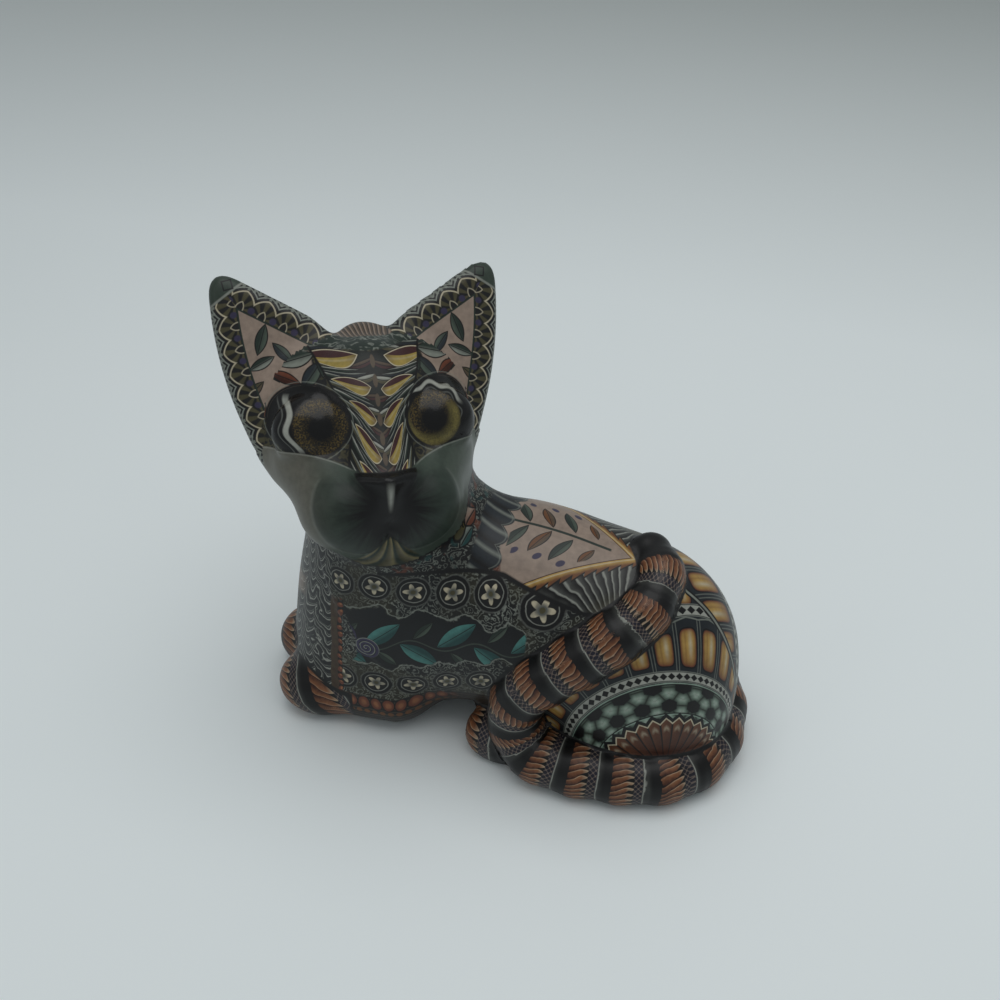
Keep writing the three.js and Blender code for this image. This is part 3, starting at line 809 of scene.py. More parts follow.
def flank_clay():
    """Polymer clay: two rows of round slices and a dark strip between, set in marbled scraps.

    The eye gets small bright marks in a busy dark ground that is never the same twice.
    """
    material, tree = new_material("polymer_clay_flank_canes")
    u, z, _ = places(tree, "flank_run")
    stray = drift(tree, 0.14, 1.0) - 0.5
    curl = drift(tree, 0.3, 2.0) - 0.5
    colour = marbled(tree, "coal", "haze")
    colour = paint(tree, colour, (rise(drift(tree, 0.1), 0.52, 0.1) * 0.3, "olive"))
    # the dark band with its running leaves
    low = (u + 12.0).most(0.0) * 0.33 + 18.8 + (u * 1.1).sum("SINE") * 0.5 + curl * 3.0
    high = 31.4 + (u * 0.8 + 1.0).sum("SINE") * 0.8 + curl * 3.6
    ends = rise(u, -19.9 + stray * 6.0, 0.3) * fall(u, 11.4, 0.3)
    inside = rise(z, low, 0.3) * fall(z, high, 0.3) * ends
    band = paint(tree, "black", (drift(tree, 0.4) * 0.35, "slate"))
    lean = (u + 4.0) * 0.16 + 25.6
    vine = z - lean - (u * 0.52).sum("SINE") * 1.1
    band = paint(tree, band, (close(vine, 0, 0.14, 0.14) * 0.6, "sage"))
    x, number = cell(u, 6.6, 0.12)
    flip = 1 - (number * 0.5).sum("FRACT") * 4
    up = (z - lean) * flip
    above = up - 2.2
    below = up + 2.4
    band = leaf(tree, band, x * 0.8 + above * 0.6, above * 0.8 - x * 0.6, 8.4, 3.2, "teal", "aqua")
    band = leaf(tree, band, x * 0.7 - below * 0.7 - 1.0, below * 0.7 + x * 0.7, 4.6, 1.5, "moss", "sage")
    band = turned_leaf(tree, band, u + 19.6, z - 25.8, 115, 4.6, 1.5, "violet", "haze")
    band = turned_leaf(tree, band, u + 20.2, z - 20.6, 30, 4.4, 1.4, "teal", "haze")
    band = bud(tree, band, u + 16.9, z - 22.8, 2.4)
    edge = close(z, high + 0.25, 0.12, 0.14).most(close(z, low - 0.25, 0.12, 0.14)) * ends
    colour = paint(tree, colour, (inside, band), (edge * 0.75, "haze"))
    # two rows of round slices, and one larger
    gap = chosen("slice_gap")
    upper = 36.1
    x, number = cell(u, gap, 21.4 / gap)
    row = cane_slice(tree, colour, x, z - upper - (number * 1.9).sum("SINE") * 0.45, number)
    colour = paint(tree, colour, (close(u, -8.3, 15.7, 0.2) * close(z, upper, 3.4, 0.2), row))
    colour = cane_slice(tree, colour, (u - 13.4) * 0.74, (z - 35.4) * 0.86, 0.0)
    x, number = cell(u, gap, 22.2 / gap)
    lift = (u + 9.0).most(0.0) * 0.42 + 14.0
    row = cane_slice(tree, colour, x, z - lift, number + 3.0)
    colour = paint(tree, colour, (close(u, -9.2, 16.2, 0.2) * close(z, lift, 3.2, 0.2), row))
    # a taupe strip and its beads part the flank from the chest
    strip_at = u + 24.4 - z * 0.06 + curl * 1.6
    beads, _ = cell(z + curl * 2.0, 1.7)
    strip = paint(
        tree, "brick", (drift(tree, 0.9) * 0.8, "olive"), (rise(strip_at, 0.3, 0.1), "black"),
        (fall(span((strip_at - 0.8) * 1.2, beads), 0.62, 0.14), "rust"),
        (fall(span(strip_at - 0.9, beads - 0.3), 0.22, 0.14), "petal"),
    )
    # the chest has nested loops that hang in columns
    x, _ = cell(u + stray * 7.0 + curl * 2.0, 4.4)
    loops, _ = cell(z - x * x * 0.55 + u * 0.6 + stray * 8.0 + curl * 5.0, 1.9)
    chest = paint(
        tree, "black", (drift(tree, 0.2) * 0.5, "slate"), (close(loops, 0, 0.15, 0.16) * 0.85, "pale"),
        (close(loops, 0.55, 0.1, 0.14) * 0.5, "haze"),
        (rise(drift(tree, 0.16), 0.56, 0.1) * fall(u, -33.0, 3.0) * 0.5, "blush"),
    )
    colour = paint(
        tree, colour, (close(strip_at, 0, 1.3, 0.15) * fall(z, 32.0, 1.0), strip),
        (fall(strip_at, -1.3, 0.15), chest),
    )
    # small tongues of rust near the floor, and fine lines below them
    sill = (u + 12.0).most(0.0) * 0.3 + 8.6
    x, _ = cell(u + curl, 2.3)
    tongue = span(x, (z - sill) * 0.72)
    x, _ = cell(u, 1.5)
    bead = span(x, z - sill + 2.4)
    lines, _ = cell(z - sill + stray * 2.0, 0.9)
    shown = fall(u, -3.0, 4.0)
    plinth = paint(
        tree, "coal", (close(lines, 0, 0.13, 0.14) * 0.7, "taupe"),
        (shown * fall(tongue, 1.2, 0.14), "black"), (shown * fall(tongue, 0.98, 0.2), "rust"),
        (shown * fall(tongue, 0.5, 0.4) * 0.7, "petal"), (shown * fall(bead, 0.55, 0.14), "ochre"),
    )
    colour = paint(tree, colour, (fall(z, sill + 1.6 + curl, 0.2), plinth))
    finish(tree, colour, 0.42, seams(tree, "tail", "head", "paw", "rosette", "back"))
    return material


def back_clay():
    """Polymer clay: one broad pale slice over the spine, edged with teeth of ochre and honey.

    The eye gets the one quiet place on the body, a clouded ground with a sprig, among dark strokes.
    """
    material, tree = new_material("polymer_clay_back_panel")
    x, t, _ = places(tree, "back_run")
    # the panel is the same on both sides of its stem
    side = abs(t + 1.6)
    uneven = drift(tree, 0.3) - 0.5
    colour = marbled(tree, "coal", "haze")
    specks = drift(tree, 0.22)
    colour = paint(
        tree, colour, (rise(specks, 0.58, 0.03) * 0.7, "rust"), (fall(specks, 0.4, 0.03) * 0.7, "teal"),
    )
    # strokes fan in towards the flank's end of the panel
    turn = angle(26.5 - x, 12.4 - side)
    off, _ = cell(turn + uneven * 0.16, 0.16)
    stroke = paint(
        tree, "black", (rise(off, 0.0, 0.12) * 0.8, "grey"), (close(off, 0.055, 0.014, 0.03) * 0.8, "pale"),
        (fall(span(x - 26.5, side - 12.4), 4.5, 4.0), "olive"),
    )
    colour = paint(tree, colour, (rise(x, 8.0, 0.5) * fall(x, 27.0, 1.0), stroke))
    # small leaves at the neck, and broad slate fingers between it and the panel
    for at_x, at_t, way, dark, light in (
        (-2.9, -4.4, 100, "brick", "rust"), (-1.7, -5.6, 84, "rust", "blush"),
        (-1.5, -8.4, 75, "teal", "haze"), (-2.9, -9.4, 60, "olive", "lemon"),
        (-4.6, -12.0, 60, "ochre", "honey"), (-3.6, -7.2, 95, "slate", "haze"),
        (-4.6, -1.0, 120, "slate", "haze"), (-4.4, 4.0, 70, "brick", "rust"),
        (-3.0, 8.5, 100, "teal", "aqua"),
    ):
        colour = turned_leaf(tree, colour, x - at_x, t - at_t, way, 3.8, 1.2, dark, light)
    y, _ = cell(t + (x - 2.0) * 0.16, 3.7, 0.4)
    inner = 1.74 - abs(y)
    finger = paint(
        tree, "black", (rise(inner, 0.4, 1.0), "slate"), (close(y, 0.6, 0.26, 0.6) * 0.8, "haze"),
    )
    end = 5.0 - (y * y) * 0.42
    cover = fall(x, end, 0.2) * rise(x, -1.8 + specks * 3.0, 0.4)
    finger = paint(
        tree, "black", (rise(inner, 0.0, 0.2), finger), (close(x, end - 0.4, 0.1, 0.2) * 0.5, "haze"),
    )
    colour = paint(tree, colour, (cover, finger))
    # the panel, with its toothed edge that starts a little way along
    inside = (25.6 - x) * 0.64 - side
    left = x - 2.4 - side * 0.3
    tooth, _ = cell(x, 1.8)
    deep = rise(x, 9.0, 7.0)
    teeth = (tooth * 0.5 - 1.5) * deep
    gild = paint(
        tree, "ochre", (rise(inside, -0.75 + uneven, 0.8), "honey"),
        (close(inside, -0.35, 0.1, 0.14) * 0.7, "cream"),
    )
    colour = paint(
        tree, colour, (rise(inside, teeth - 0.35, 0.14) * rise(x, 8.0, 0.5), "black"),
        (rise(inside, teeth, 0.14) * rise(x, 8.0, 0.5), gild),
    )
    panel = paint(
        tree, "beige", (drift(tree, 0.25), "blush"),
        (close(t, -1.6, 0.26, 0.1) * close(x, 13.4, 8.6, 0.3), "moss"),
    )
    # pairs of leaves, smaller towards the point
    pair, number = cell(x + side * 0.6, 4.1, 0.1)
    scale = rise(x, 16.0, 8.0) * -0.35 + 1.0
    sprig = leaf(tree, panel, (side - 3.1) / scale, pair / scale, 5.0, 1.9, "moss", "sage")
    other = leaf(tree, panel, (side - 2.8) / scale, pair / scale, 4.4, 1.8, "ochre", "taupe")
    sprig = paint(tree, sprig, ((number * 0.5).sum("FRACT") * 2.0, other))
    # berries stand between the leaves' points
    outer = side - 5.6
    berries = fall(span(pair - 2.0, outer), 0.62, 0.14).most(fall(span(pair + 2.05, outer), 0.62, 0.14))
    panel = paint(
        tree, panel, (close(x, 13.4, 8.4, 0.2) * rise(inside, 0.9, 0.2), sprig),
        (berries * rise(inside, 0.8, 0.2) * close(x, 11.0, 5.0, 0.2), "violet"),
    )
    on_panel = rise(inside, 0.0, 0.12) * rise(left, 0.0, 0.3) * rise(x, end, 0.2)
    colour = paint(
        tree, colour, (on_panel, panel),
        (close(inside, 0.05, 0.08, 0.1) * rise(left, 0.0, 0.3) * rise(x, end, 0.2), "brick"),
    )
    finish(tree, colour, 0.4, seams(tree, "tail", "head", "paw", "rosette", "back"))
    return material


def face_clay():
    """Polymer clay: a smooth green mask, leaves up the brow, and eyes and nose buffed to a gloss.

    The eye gets a calm, plain face between the busy parts, and two wet-looking eyes in it.
    """
    material, tree = new_material("polymer_clay_face")
    x, y, z = places(tree, "head_place")
    m = abs(x)
    front = fall(y, 3.0, 1.5)
    # the back of the head is marbled, its sides are a pale ground with leaves, its top is dark
    colour = marbled(tree, "coal", "haze")
    colour = paint(tree, colour, (rise(drift(tree, 0.15), 0.55, 0.12) * 0.5, "taupe"))
    dusk = marbled(tree, "coal", "olive", 0.3, 8.0, 0.2)
    pale = paint(tree, "beige", (drift(tree, 0.25), "blush"))
    temple = paint(tree, dusk, (rise(m, 9.2, 0.3) * rise(z, 3.2, 0.3), pale))
    for at_m, at_z, way, length, dark, light in (
        (15.8, 11.4, 62, 5.4, "moss", "sage"), (18.0, 5.2, 80, 5.0, "brick", "rust"),
        (11.6, 12.4, 165, 6.0, "moss", "haze"), (9.6, 10.0, 130, 5.2, "slate", "sage"),
        (13.6, 9.6, 20, 4.4, "brick", "rust"), (7.4, 12.6, 100, 5.6, "moss", "sage"),
    ):
        temple = turned_leaf(tree, temple, m - at_m, z - at_z, way, length, length * 0.36, dark, light)
    # brow: leaves of gold and burgundy climb both sides of a stem, larger as they rise
    up = (z - 3.5).most(0.0)
    grow = up * up * 0.022 + 1.0
    f = m / grow
    bow = (f - 2.2) * (f - 2.2)
    lean = 1.6 - (z - 3.0).most(0.0) * 0.17
    pair, _ = cell(z + rise(x, 0.0, 0.01) * 0.4 - 1.1 - lean * f - bow * 0.3, 5.7)
    brow = paint(tree, "black", (drift(tree, 0.5) * 0.5, "moss"))
    for at_f, at_pair, length, width, dark, light in (
        (4.0, 1.6, 3.0, 1.5, "moss", "pale"), (3.9, -1.4, 3.0, 1.5, "olive", "haze"),
        (2.3, 2.5, 3.4, 0.9, "slate", "haze"), (0.7, -1.7, 2.2, 1.0, "burgundy", "taupe"),
        (0.8, 1.5, 2.2, 1.2, "olive", "pale"), (2.6, -2.3, 3.0, 0.8, "moss", "pale"),
    ):
        brow = leaf(tree, brow, f - at_f, pair - at_pair, length, width, dark, light)
    inner = 1.9 - bow * (grow * 0.1 + 0.55) - abs(pair)
    flame = paint(
        tree, "gold", (drift(tree, 0.8), "lemon"), (close(pair, -0.35, 0.1, 0.5) * 0.5, "cream"),
        (rise(pair, 0.25, 0.12), "burgundy"), (fall(f, 1.2, 0.8) * 0.6, "burgundy"),
    )
    bead, _ = cell(z, 3.0)
    brow = paint(
        tree, brow, (rise(inner, -0.16, 0.1), "black"), (rise(inner, 0.0, 0.1), "cream"),
        (rise(inner, 0.18, 0.1), flame), (fall(span(m * 1.3, bead * 0.5), 0.5, 0.12), "taupe"),
    )
    # the brow is narrowest between the eyes
    half = (z - 3.0).most(0.0) * 0.4 + (0.0 - z).most(0.0) * 0.2 + 4.6
    brow_zone = rise(z, -4.9, 0.2) * fall(z, 13.4 + m * 0.12, 0.3) * front
    top_zone = rise(z, 13.6, 0.4) * front
    colour = paint(
        tree, colour, (front, temple), (top_zone, marbled(tree, "moss", "haze", 0.22, 9.0, 0.12)),
        (fall(m, half + 0.3, 0.2) * brow_zone, "black"), (fall(m, half - 0.1, 0.2) * brow_zone, brow),
    )
    # crown: fine lines fan back over a taupe knob
    off, _ = cell(angle(x - 0.7, z - 9.0), 0.1)
    knob = paint(tree, "taupe", (rise(off, 0.0, 0.05) * 0.6, "blush"), (close(off, 0, 0.012, 0.02), "coal"))
    knob_zone = fall(span(x - 0.7, y - 7.0), 6.6, 0.5)
    colour = paint(tree, colour, (knob_zone * rise(z, 12.5, 1.0), knob))
    # eyes: a black almond with a pale stroke, an iris of speckled amber, a wide dark pupil
    almond = span((m - ALMOND_OUT) / ALMOND_HALF, (z - ALMOND_UP) / ALMOND_TALL)
    stroke_at = m - 14.5 + (z - 3.0) * (z - 3.0) * 0.07 - (z * 1.1).sum("SINE") * 0.45
    r = span(m - IRIS_OUT, z - IRIS_UP)
    # specks of glitter clay are under 0.1 mm, and are drawn at 0.3 mm so that they show
    speck = drift(tree, 3.6, 2.0)
    crescent = rise(span(x - 8.4, z - 2.9), 3.3, 0.5) * fall(z, 4.2, 1.8) * rise(x, 0.0, 0.2)
    iris = paint(
        tree, "amber", (rise(speck, 0.5, 0.3) * 0.22, "gold"), (fall(speck, 0.5, 0.2) * 0.8, "coal"),
        (crescent * 0.75, paint(tree, "lemon", (rise(speck, 0.52, 0.2) * 0.7, "olive"))),
        (rise(r, 4.2, 0.6) * 0.6, "black"), (fall(r, 2.7, 1.8), "black"),
    )
    left = fall(x, 0.0, 0.1)
    lid = r - 5.5 - (angle(z - IRIS_UP, m - IRIS_OUT) * 9.0).sum("SINE") * 0.3
    eye = paint(
        tree, "black", (left * close(stroke_at, 0, 0.42, 0.25) * close(z, 2.6, 4.2, 1.0), "pale"),
        (left * close(stroke_at, 1.1, 0.1, 0.14) * close(z, 2.2, 4.2, 1.0), "grey"),
        ((1 - left) * close(lid, 0, 0.3, 0.25) * rise(z, 4.2, 1.0) * fall(m, 14.0, 1.5), "pale"),
        ((1 - left) * close(lid, -0.9, 0.1, 0.2) * rise(z, 1.0, 1.0) * rise(m, 9.0, 2.0), "grey"),
        (fall(r, IRIS_R, 0.3), iris),
    )
    on_eye = fall(almond, 1.0, 0.03) * front
    colour = paint(
        tree, colour, (on_eye, eye), (close(almond, 1.02, 0.03, 0.03) * front, "black"),
        (close(almond, 1.09, 0.012, 0.02) * front * 0.5, "haze"),
    )
    # the mask, paler at the cheeks and black with fine rays about the nose and mouth
    brim = BRIM_TOP - BRIM_DIP * ((BRIM_FROM - m).most(0.0).least(BRIM_RUN) / BRIM_RUN).sum("POWER", 2.0)
    pad = span(m - PAD_OUT, z + PAD_DROP)
    dark = span(m * 0.95, z + 11.4)
    way = node(tree, "ShaderNodeCombineXYZ", {0: angle(z + 10.5, m - 1.5), 1: dark * 0.02, 2: 0.0})
    rays = drift(tree, 6.0, 2.0, vector=way)
    mask = paint(
        tree, "sage", (drift(tree, 0.2) * 0.6 + 0.1, "moss"), (rise(m, 13.5, 8.0) * 0.4, "haze"),
        (fall(x, -8.0, 8.0) * rise(m, 10.0, 6.0) * 0.3, "beige"),
        (fall(pad, 7.8, 0.5) * fall(z, -5.8, 1.5) * 0.62, "moss"),
        (close(pad, 7.9, 0.1, 0.4) * 0.3 * fall(z, -5.8, 0.5), "haze"),
        (fall(dark - rays * 8.0, 2.5, 5.0), "black"),
        (close(z, brim - 0.16, 0.1, 0.14) * rise(m, 5.5, 1.0) * 0.4, "pale"),
    )
    # chin: streaks fan down from the mouth
    bend = angle(x, -13.6 - z)
    off, _ = cell(bend + (z + 16.0) * x * 0.012, 0.26)
    streak = paint(
        tree, "olive", (rise(off, 0.0, 0.1) * 0.2, "cream"), (close(off, 0.06, 0.02, 0.05) * 0.5, "lemon"),
        (rise(abs(off), 0.085, 0.05), "moss"),
    )
    below = fall(z + 15.9 + m * LIP_SLOPE, 0.0, 0.4) * fall(m, 5.6, 1.2) * front
    # nose, with a painted highlight: a pale streak down its ridge stands for the shine that the ridge
    # catches
    nose = rise((z + 12.6) * 0.72 - m, 0.0, 0.2) * fall(z, -4.9, 0.2)
    nose = nose * fall(m, 5.0, 0.3) * fall(y, -12.5, 0.4)
    painted_ridge_highlight = fall(abs(x) - (z + 13.0) * 0.085, 0.0, 0.6) * close(z, -8.8, 1.8, 2.0) * 0.85
    colour = paint(
        tree, colour, (fall(z, brim, 0.1) * front, mask), (below, streak),
        (nose, paint(tree, "black", (painted_ridge_highlight, "pale"))),
    )
    finish(tree, colour, 0.4, seams(tree, "tail"), (on_eye * 0.75).most(nose * 0.35))
    return material


def ear_clay():
    """Polymer clay: slices of an arched cane laid side by side round a pale triangle, with green tips.

    The eye gets a lace edge that stands out against the plain ground inside it.
    """
    material, tree = new_material("polymer_clay_ears")
    x, y, w = places(tree, "ear_place")
    top, bowed, _ = places(tree, "ear_edges")
    inset = top.most(bowed) * -1.0
    on_top = rise(top - bowed, 0.0, 0.1)
    arch = chosen("arch")
    run_top, _ = cell(y * 0.7234 - x * 0.6905, arch)
    run_out, _ = cell(x, arch - 0.1, 0.5)
    # an arch is drawn on a cane 3.4 mm wide, and the slices are stretched to fit their places
    stretch = 0.87
    off = (run_top * on_top + run_out * (1 - on_top)) * stretch
    deep = inset * stretch
    # two circles that cross give each arch its point
    r = span(abs(off) + 0.8, deep - 3.7) - 0.6
    fan = abs(angle(off, 3.7 - deep))
    petals, _ = cell(fan, 0.7)
    nicks, _ = cell(off, 0.85)
    border = paint(
        tree, "coal", (close(r, 3.3, 0.09, 0.1).most(close(r, 2.85, 0.09, 0.1)), "haze"),
        (close(petals, 0, 0.17, 0.1) * close(r, 1.6, 0.75, 0.2), "olive"),
        (close(r, 2.25, 0.1, 0.1) * 0.9, "cream"), (close(r, 0.75, 0.08, 0.1) * 0.7, "cream"),
        (fall(deep, 0.75, 0.1) * close(nicks, 0, 0.2, 0.12) * 0.8, "haze"),
        (fall(span(abs(off) - 1.7, deep - 3.3), 0.5, 0.14), "violet"),
    )
    sprig = paint(tree, "beige", (drift(tree, 0.25), "blush"))
    for at_x, at_y, way, length, dark, light in (
        (2.6, -0.6, 30, 5.0, "moss", "sage"), (-0.4, 2.2, -30, 4.4, "slate", "sage"),
        (-1.2, -1.6, 75, 4.4, "moss", "haze"), (-4.6, 1.6, 10, 5.2, "brick", "rust"),
        (-7.6, -1.4, 30, 4.8, "moss", "teal"), (-5.2, -4.0, 60, 4.0, "olive", "taupe"),
        (-10.4, 1.2, 50, 4.6, "brick", "rust"), (-8.2, 3.4, -20, 4.0, "olive", "sage"),
    ):
        sprig = turned_leaf(tree, sprig, x - at_x, y - at_y, way, length, length * 0.34, dark, light)
    # the tip is cut off square to the line that halves its corner
    toward_tip = x * 0.9194 - y * 0.3934
    square = abs(x - 12.6).most(abs(y + 3.5))
    green = paint(
        tree, "moss", (drift(tree, 0.4) * 0.6 + 0.1, "sage"),
        (close(toward_tip, 11.8, 0.2, 0.2) * 0.6, "pale"),
        (close(square, 0.75, 0.12, 0.1), "black"),
    )
    tip = rise(toward_tip, 11.6, 0.15)
    # the backs of the ears are plainer
    behind = fall(w, 0.0, 0.2)
    colour = paint(
        tree, border, (rise(inset, 4.5, 0.14), sprig), (close(inset, 4.5, 0.14, 0.1), "moss"),
        (tip, green), (behind * (1 - tip), marbled(tree, "coal", "haze")),
    )
    finish(tree, colour, 0.42, seams(tree, "tail"))
    return material


def floor_paper():
    """Matt white paper, uncoated and rolled out flat: no sheen, faint clouds, and painted shade that greys
    it far off, where the lamp's light falls off.
    """
    material, tree = new_material("matt_paper")
    vector = node(tree, "ShaderNodeTexCoord", out="Object")
    far = Wire(tree, node(tree, "ShaderNodeSeparateXYZ", {0: vector}, out=1))
    # painted shade: the floor turns to the Shade colour far off, standing in for the light falling off with
    # distance
    colour = paint(tree, "paper", (drift(tree, 0.02) * 0.2, "sheet"), (rise(far, 0.36, 0.4), "shade"))
    shader = node(tree, "ShaderNodeBsdfPrincipled", {"Base Color": colour, "Roughness": 0.9})
    node(tree, "ShaderNodeOutputMaterial", {0: shader})
    return material


# The clay that each zone is laid with. Where zones overlap, the first one holds.
ZONES = {
    "tail": tail_clay, "ear": ear_clay, "head": face_clay, "paw": paw_clay,
    "rosette": rosette_clay, "back": back_clay, "flank": flank_clay,
}


def attach(mesh, name, columns):
    """Writes three columns of numbers to the mesh as a vector attribute."""
    made = mesh.attributes.new(name, "FLOAT_VECTOR", "POINT")
    made.data.foreach_set("vector", np.stack(columns, axis=-1).astype(np.float32).ravel())


def pattern_places(mesh, p):
    """Writes the coordinates that the patterns follow, and returns each zone's signed distance."""
    _, at = cat_skin(p)
    mine = p + FROM_MAKER
    x, y, z = mine.T
    attach(mesh, "head_place", at["q"].T)
    attach(mesh, "tail_run", (at["along"], at["around"], at["tail"]))
    attach(mesh, "ear_place", at["flat"].T)
    attach(mesh, "ear_edges", ear_edges(at["flat"]))
    # the flank's length runs round the chest and on along the far side
    cx, cy = CHEST_AXIS
    front = np.arctan2(cx - x, -(y - cy))
    u = np.where(x < cx, cx - CHEST_R * front, np.where(y < cy, x, 2 * cx - x - CHEST_R * np.pi))
    attach(mesh, "flank_run", (u, z, y))
    # the back's width is measured along its round from the spine, as a sheet of clay would lie
    arc = 16.8 * np.arcsin(np.clip((y - SPINE_Y) / 17.4, -1, 1))
    attach(mesh, "back_run", (x, arc, z))
    # each haunch has a rosette, the far one a mirror image
    pole = ROSETTE_POLE / np.linalg.norm(ROSETTE_POLE)
    e = mine.copy()
    e[:, 1] = np.where(y < SPINE_BORDER, y, 2 * SPINE_BORDER - y)
    e = (e - ROSETTE_EGG[0]) / ROSETTE_EGG[1]
    e /= np.linalg.norm(e, axis=1)[:, None]
    across = np.cross(mm(0, 0, 1), pole)
    across /= np.linalg.norm(across)
    attach(mesh, "rosette_place", (e @ across, e @ np.cross(pole, across), e @ pole))
    # rings on the paws run out from the leg, aslant
    near, far, foot = (egg(p, *part) for part in (NEAR_PAW, FAR_PAW, HIND_FOOT))
    at_near, at_foot = near < far, foot < np.minimum(near, far)
    along = np.where(at_near, -x - 0.556 * z - 21.8, -x - 0.556 * z - 25.3)
    along = np.where(at_foot, 1.2 - x, along)
    middle = np.where(at_foot, -12.5, np.where(at_near, -13.5, -2.5))
    attach(mesh, "limb_run", (along, np.arctan2(z - 5.0, y - middle) * 6, z))
    # a zone is where its number is under 0, and 0 is its edge
    slope = np.maximum(z - 14, 0) * 0.85
    zones = {
        "tail": at["tail"] - at["rest"],
        "ear": np.maximum(at["ears"] - at["face"], at["head"] - at["base"]),
        "head": at["head"] - at["base"],
        "paw": np.minimum(np.maximum(at["limbs"] - at["torso"], x - LEGS_END), foot - at["torso"]),
        "rosette": RUMP_LINE + slope - x,
        "back": np.maximum(BACK_LINE - np.clip((x - 6) * 0.28, 0, 4) - z, NECK_LINE - x),
    }
    attach(mesh, "edges_head", (zones["tail"], zones["head"], zones["ear"]))
    attach(mesh, "edges_body", (zones["paw"], zones["rosette"], zones["back"]))
    return zones


def fine_skin():
    """A fine mesh of the figurine's solid, its points laid on the smooth shape and its carving."""
    made = bmesh.new()
    made.from_mesh(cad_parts["cat_figurine"].data)
    bmesh.ops.remove_doubles(made, verts=made.verts, dist=1e-6)
    coarse = bpy.data.meshes.new("coarse")
    made.to_mesh(coarse)
    made.free()
    holder = bpy.data.objects.new("coarse", coarse)
    bpy.context.scene.collection.objects.link(holder)
    remesh = holder.modifiers.new("voxels", "REMESH")
    remesh.mode = "VOXEL"
    remesh.voxel_size = chosen("voxel") / MM_PER_M
    graph = bpy.context.evaluated_depsgraph_get()
    mesh = bpy.data.meshes.new_from_object(holder.evaluated_get(graph))
    bpy.data.objects.remove(holder)
    bpy.data.meshes.remove(coarse)
    start = np.empty(len(mesh.vertices) * 3)
    mesh.vertices.foreach_get("co", start)
    start = start.reshape(-1, 3) * MM_PER_M - FROM_MAKER
    p = start.copy()
    for _ in range(LAY_STEPS):
        d, _ = cat_skin(p)
        slope = np.stack([(cat_skin(p + PROBE * axis)[0] - d) / PROBE for axis in np.eye(3)], axis=1)
        p -= slope * (d / np.maximum((slope**2).sum(axis=1), 0.3))[:, None]
    moved = np.linalg.norm(p - start, axis=1)
    p = start + (p - start) * np.minimum(1, MOST_MOVED / np.maximum(moved, 1e-9))[:, None]
    # the flat underside stays as the solid has it
    low = start[:, 2] < FLOOR_RIM
    p[low] = start[low]
    p[:, 2] = np.maximum(p[:, 2], 0)
    mesh.vertices.foreach_set("co", ((p + FROM_MAKER) / MM_PER_M).ravel())
    mesh.update()
    return mesh, p


class ClayCatStage(bpy.types.PropertyGroup):
    """The floor, the camera and the lights"""

    floor: length_of("Floor", 4000.0, "Width of the paper floor")
    camera_turn: bpy.props.FloatProperty(
        name="Camera turn", description="Angle of the camera round the cat",
        default=math.radians(18), subtype="ANGLE",
    )
    camera_height: bpy.props.FloatProperty(
        name="Camera height", description="Angle at which the camera looks down",
        default=math.radians(37), subtype="ANGLE",
    )
    camera_at: bpy.props.FloatVectorProperty(
        name="Camera place", description="Where the camera stands", default=(0.05678, -0.17043, 0.1805),
        subtype="TRANSLATION", unit="LENGTH",
    )
    camera_view: bpy.props.FloatProperty(
        name="Camera view", description="Angle across the picture", default=math.radians(42), subtype="ANGLE"
    )
    tent: bpy.props.FloatProperty(
        name="Tent light", description="Strength of the light from all round", default=0.38
    )
    top_light: bpy.props.FloatProperty(
        name="Top light", description="Power of the soft light overhead", default=0.92, unit="POWER"
    )
    side_light: bpy.props.FloatProperty(
        name="Side light", description="Power of the soft light at the side", default=0.05, unit="POWER"
    )


class ClayCatSkin(bpy.types.Operator):
    """Make the cat and lay its patterned skin"""

    bl_idname = "clay_cat.skin"
    bl_label = "Patterned cat"

    def execute(self, context):
        mesh, p = fine_skin()
        mesh.name = "patterned_cat"
        zones = pattern_places(mesh, p)
        cat = bpy.data.objects.new("patterned_cat", mesh)
        context.scene.collection.objects.link(cat)
        mesh.materials.clear()
        for make in ZONES.values():
            mesh.materials.append(make())
        corners = np.empty(len(mesh.loops), np.int32)
        mesh.loops.foreach_get("vertex_index", corners)
        first = np.empty(len(mesh.polygons), np.int32)
        mesh.polygons.foreach_get("loop_start", first)
        # a face is in a zone when its corners are, taken together, and the flank has what is left
        names = list(ZONES)
        index = np.full(len(first), names.index("flank"), np.int32)
        for zone in reversed(zones):
            index[np.add.reduceat(zones[zone][corners], first) < 0] = names.index(zone)
        mesh.polygons.foreach_set("material_index", index)
        mesh.polygons.foreach_set("use_smooth", np.ones(len(first), bool))
        mesh.update()
        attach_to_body(cat, "root")
        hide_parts("cat_figurine")
        return {"FINISHED"}


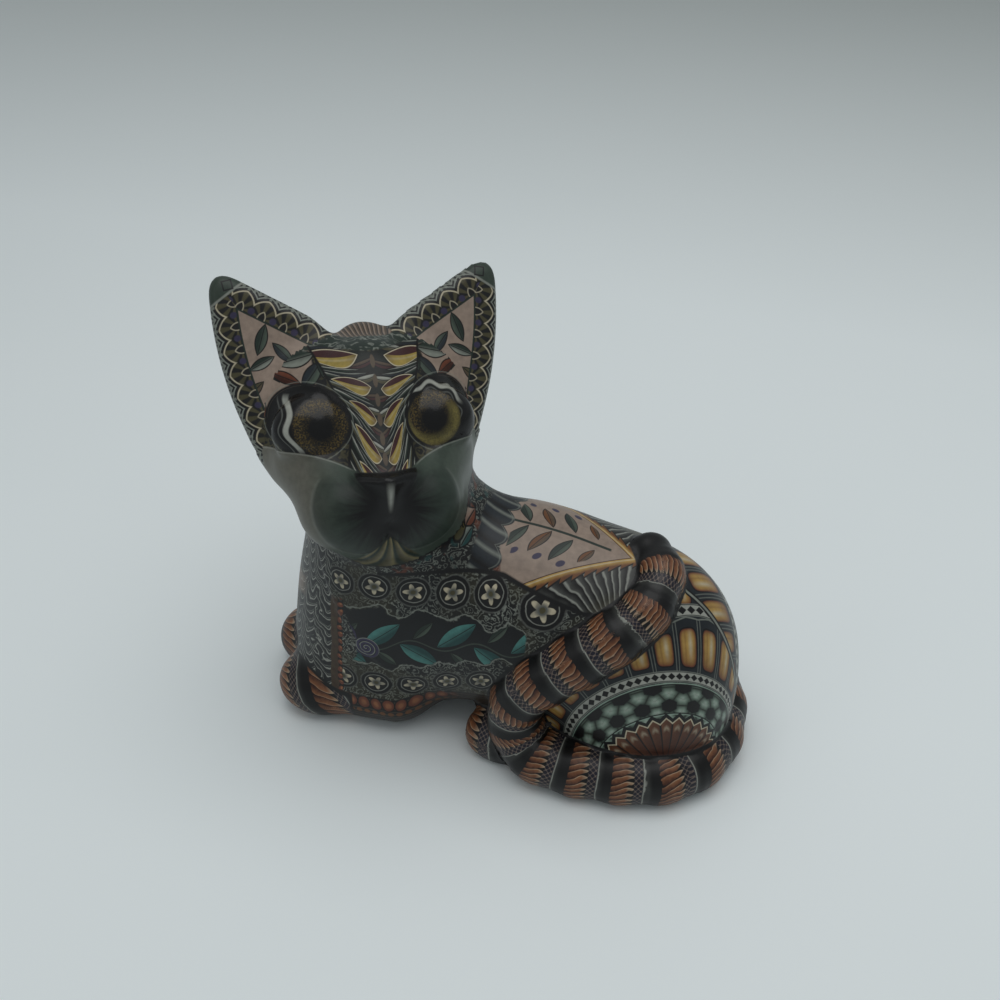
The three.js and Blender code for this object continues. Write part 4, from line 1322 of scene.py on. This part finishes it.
class ClayCatStageSet(bpy.types.Operator):
    """Set the paper floor, the soft lights and the camera"""

    bl_idname = "clay_cat.stage"
    bl_label = "Stage"

    def execute(self, context):
        set_up = context.scene.clay_cat_stage
        made = bmesh.new()
        bmesh.ops.create_grid(made, x_segments=1, y_segments=1, size=set_up.floor / 2)
        mesh = bpy.data.meshes.new("floor")
        made.to_mesh(mesh)
        made.free()
        mesh.materials.append(floor_paper())
        floor = bpy.data.objects.new("floor", mesh)
        context.scene.collection.objects.link(floor)
        world = bpy.data.worlds.new("tent")
        world.use_nodes = True
        sky = world.node_tree.nodes["Background"]
        sky.inputs["Color"].default_value = clay("tent")
        sky.inputs["Strength"].default_value = set_up.tent
        context.scene.world = world
        # each lamp's name, its place, where it points, its width and its power
        lamps = (
            ("top", (0.05, 0.0, 0.45), (0.05, 0.0, 0), 0.45, set_up.top_light),
            ("side", (-0.25, -0.3, 0.3), (0, 0, 0.04), 0.16, set_up.side_light),
        )
        for name, place, at, width, power in lamps:
            lamp = bpy.data.lights.new(name, "AREA")
            lamp.size = width
            lamp.energy = power
            light = bpy.data.objects.new(name, lamp)
            light.location = place
            light.rotation_euler = (Vector(at) - Vector(place)).to_track_quat("-Z", "Y").to_euler()
            context.scene.collection.objects.link(light)
        lens = bpy.data.cameras.new("camera")
        lens.sensor_fit = "HORIZONTAL"
        lens.angle = set_up.camera_view
        lens.clip_start = 0.01
        camera = bpy.data.objects.new("camera", lens)
        camera.location = set_up.camera_at
        turn, height = set_up.camera_turn, set_up.camera_height
        level = math.cos(height)
        ahead = Vector((-math.sin(turn) * level, math.cos(turn) * level, -math.sin(height)))
        camera.rotation_euler = ahead.to_track_quat("-Z", "Y").to_euler()
        context.scene.collection.objects.link(camera)
        context.scene.camera = camera
        context.scene.view_settings.view_transform = "Standard"
        return {"FINISHED"}


class ClayCatPanel(bpy.types.Panel):
    """Lists the operators, and the sizes and colours that they use"""

    bl_idname = "VIEW3D_PT_clay_cat"
    bl_label = "Clay cat"
    bl_space_type = "VIEW_3D"
    bl_region_type = "UI"
    bl_category = "Clay cat"

    def draw(self, context):
        for operator in OPERATORS:
            self.layout.operator(operator.bl_idname)
        for place, group in GROUPS.items():
            for name in group.__annotations__:
                self.layout.prop(getattr(context.scene, place), name)


OPERATORS = (ClayCatStageSet, ClayCatSkin)
GROUPS = {"clay_cat_sizes": ClayCatSizes, "clay_cat_colours": ClayCatColours, "clay_cat_stage": ClayCatStage}
CLASSES = (*GROUPS.values(), *OPERATORS, ClayCatPanel)


def register():
    for made in CLASSES:
        bpy.utils.register_class(made)
    for place, group in GROUPS.items():
        setattr(bpy.types.Scene, place, bpy.props.PointerProperty(type=group))


def unregister():
    for place in GROUPS:
        delattr(bpy.types.Scene, place)
    for made in reversed(CLASSES):
        bpy.utils.unregister_class(made)


def main():
    """Makes the stage and the cat."""
    register()
    bpy.ops.clay_cat.stage()
    bpy.ops.clay_cat.skin()


if __name__ == "__main__":
    main()
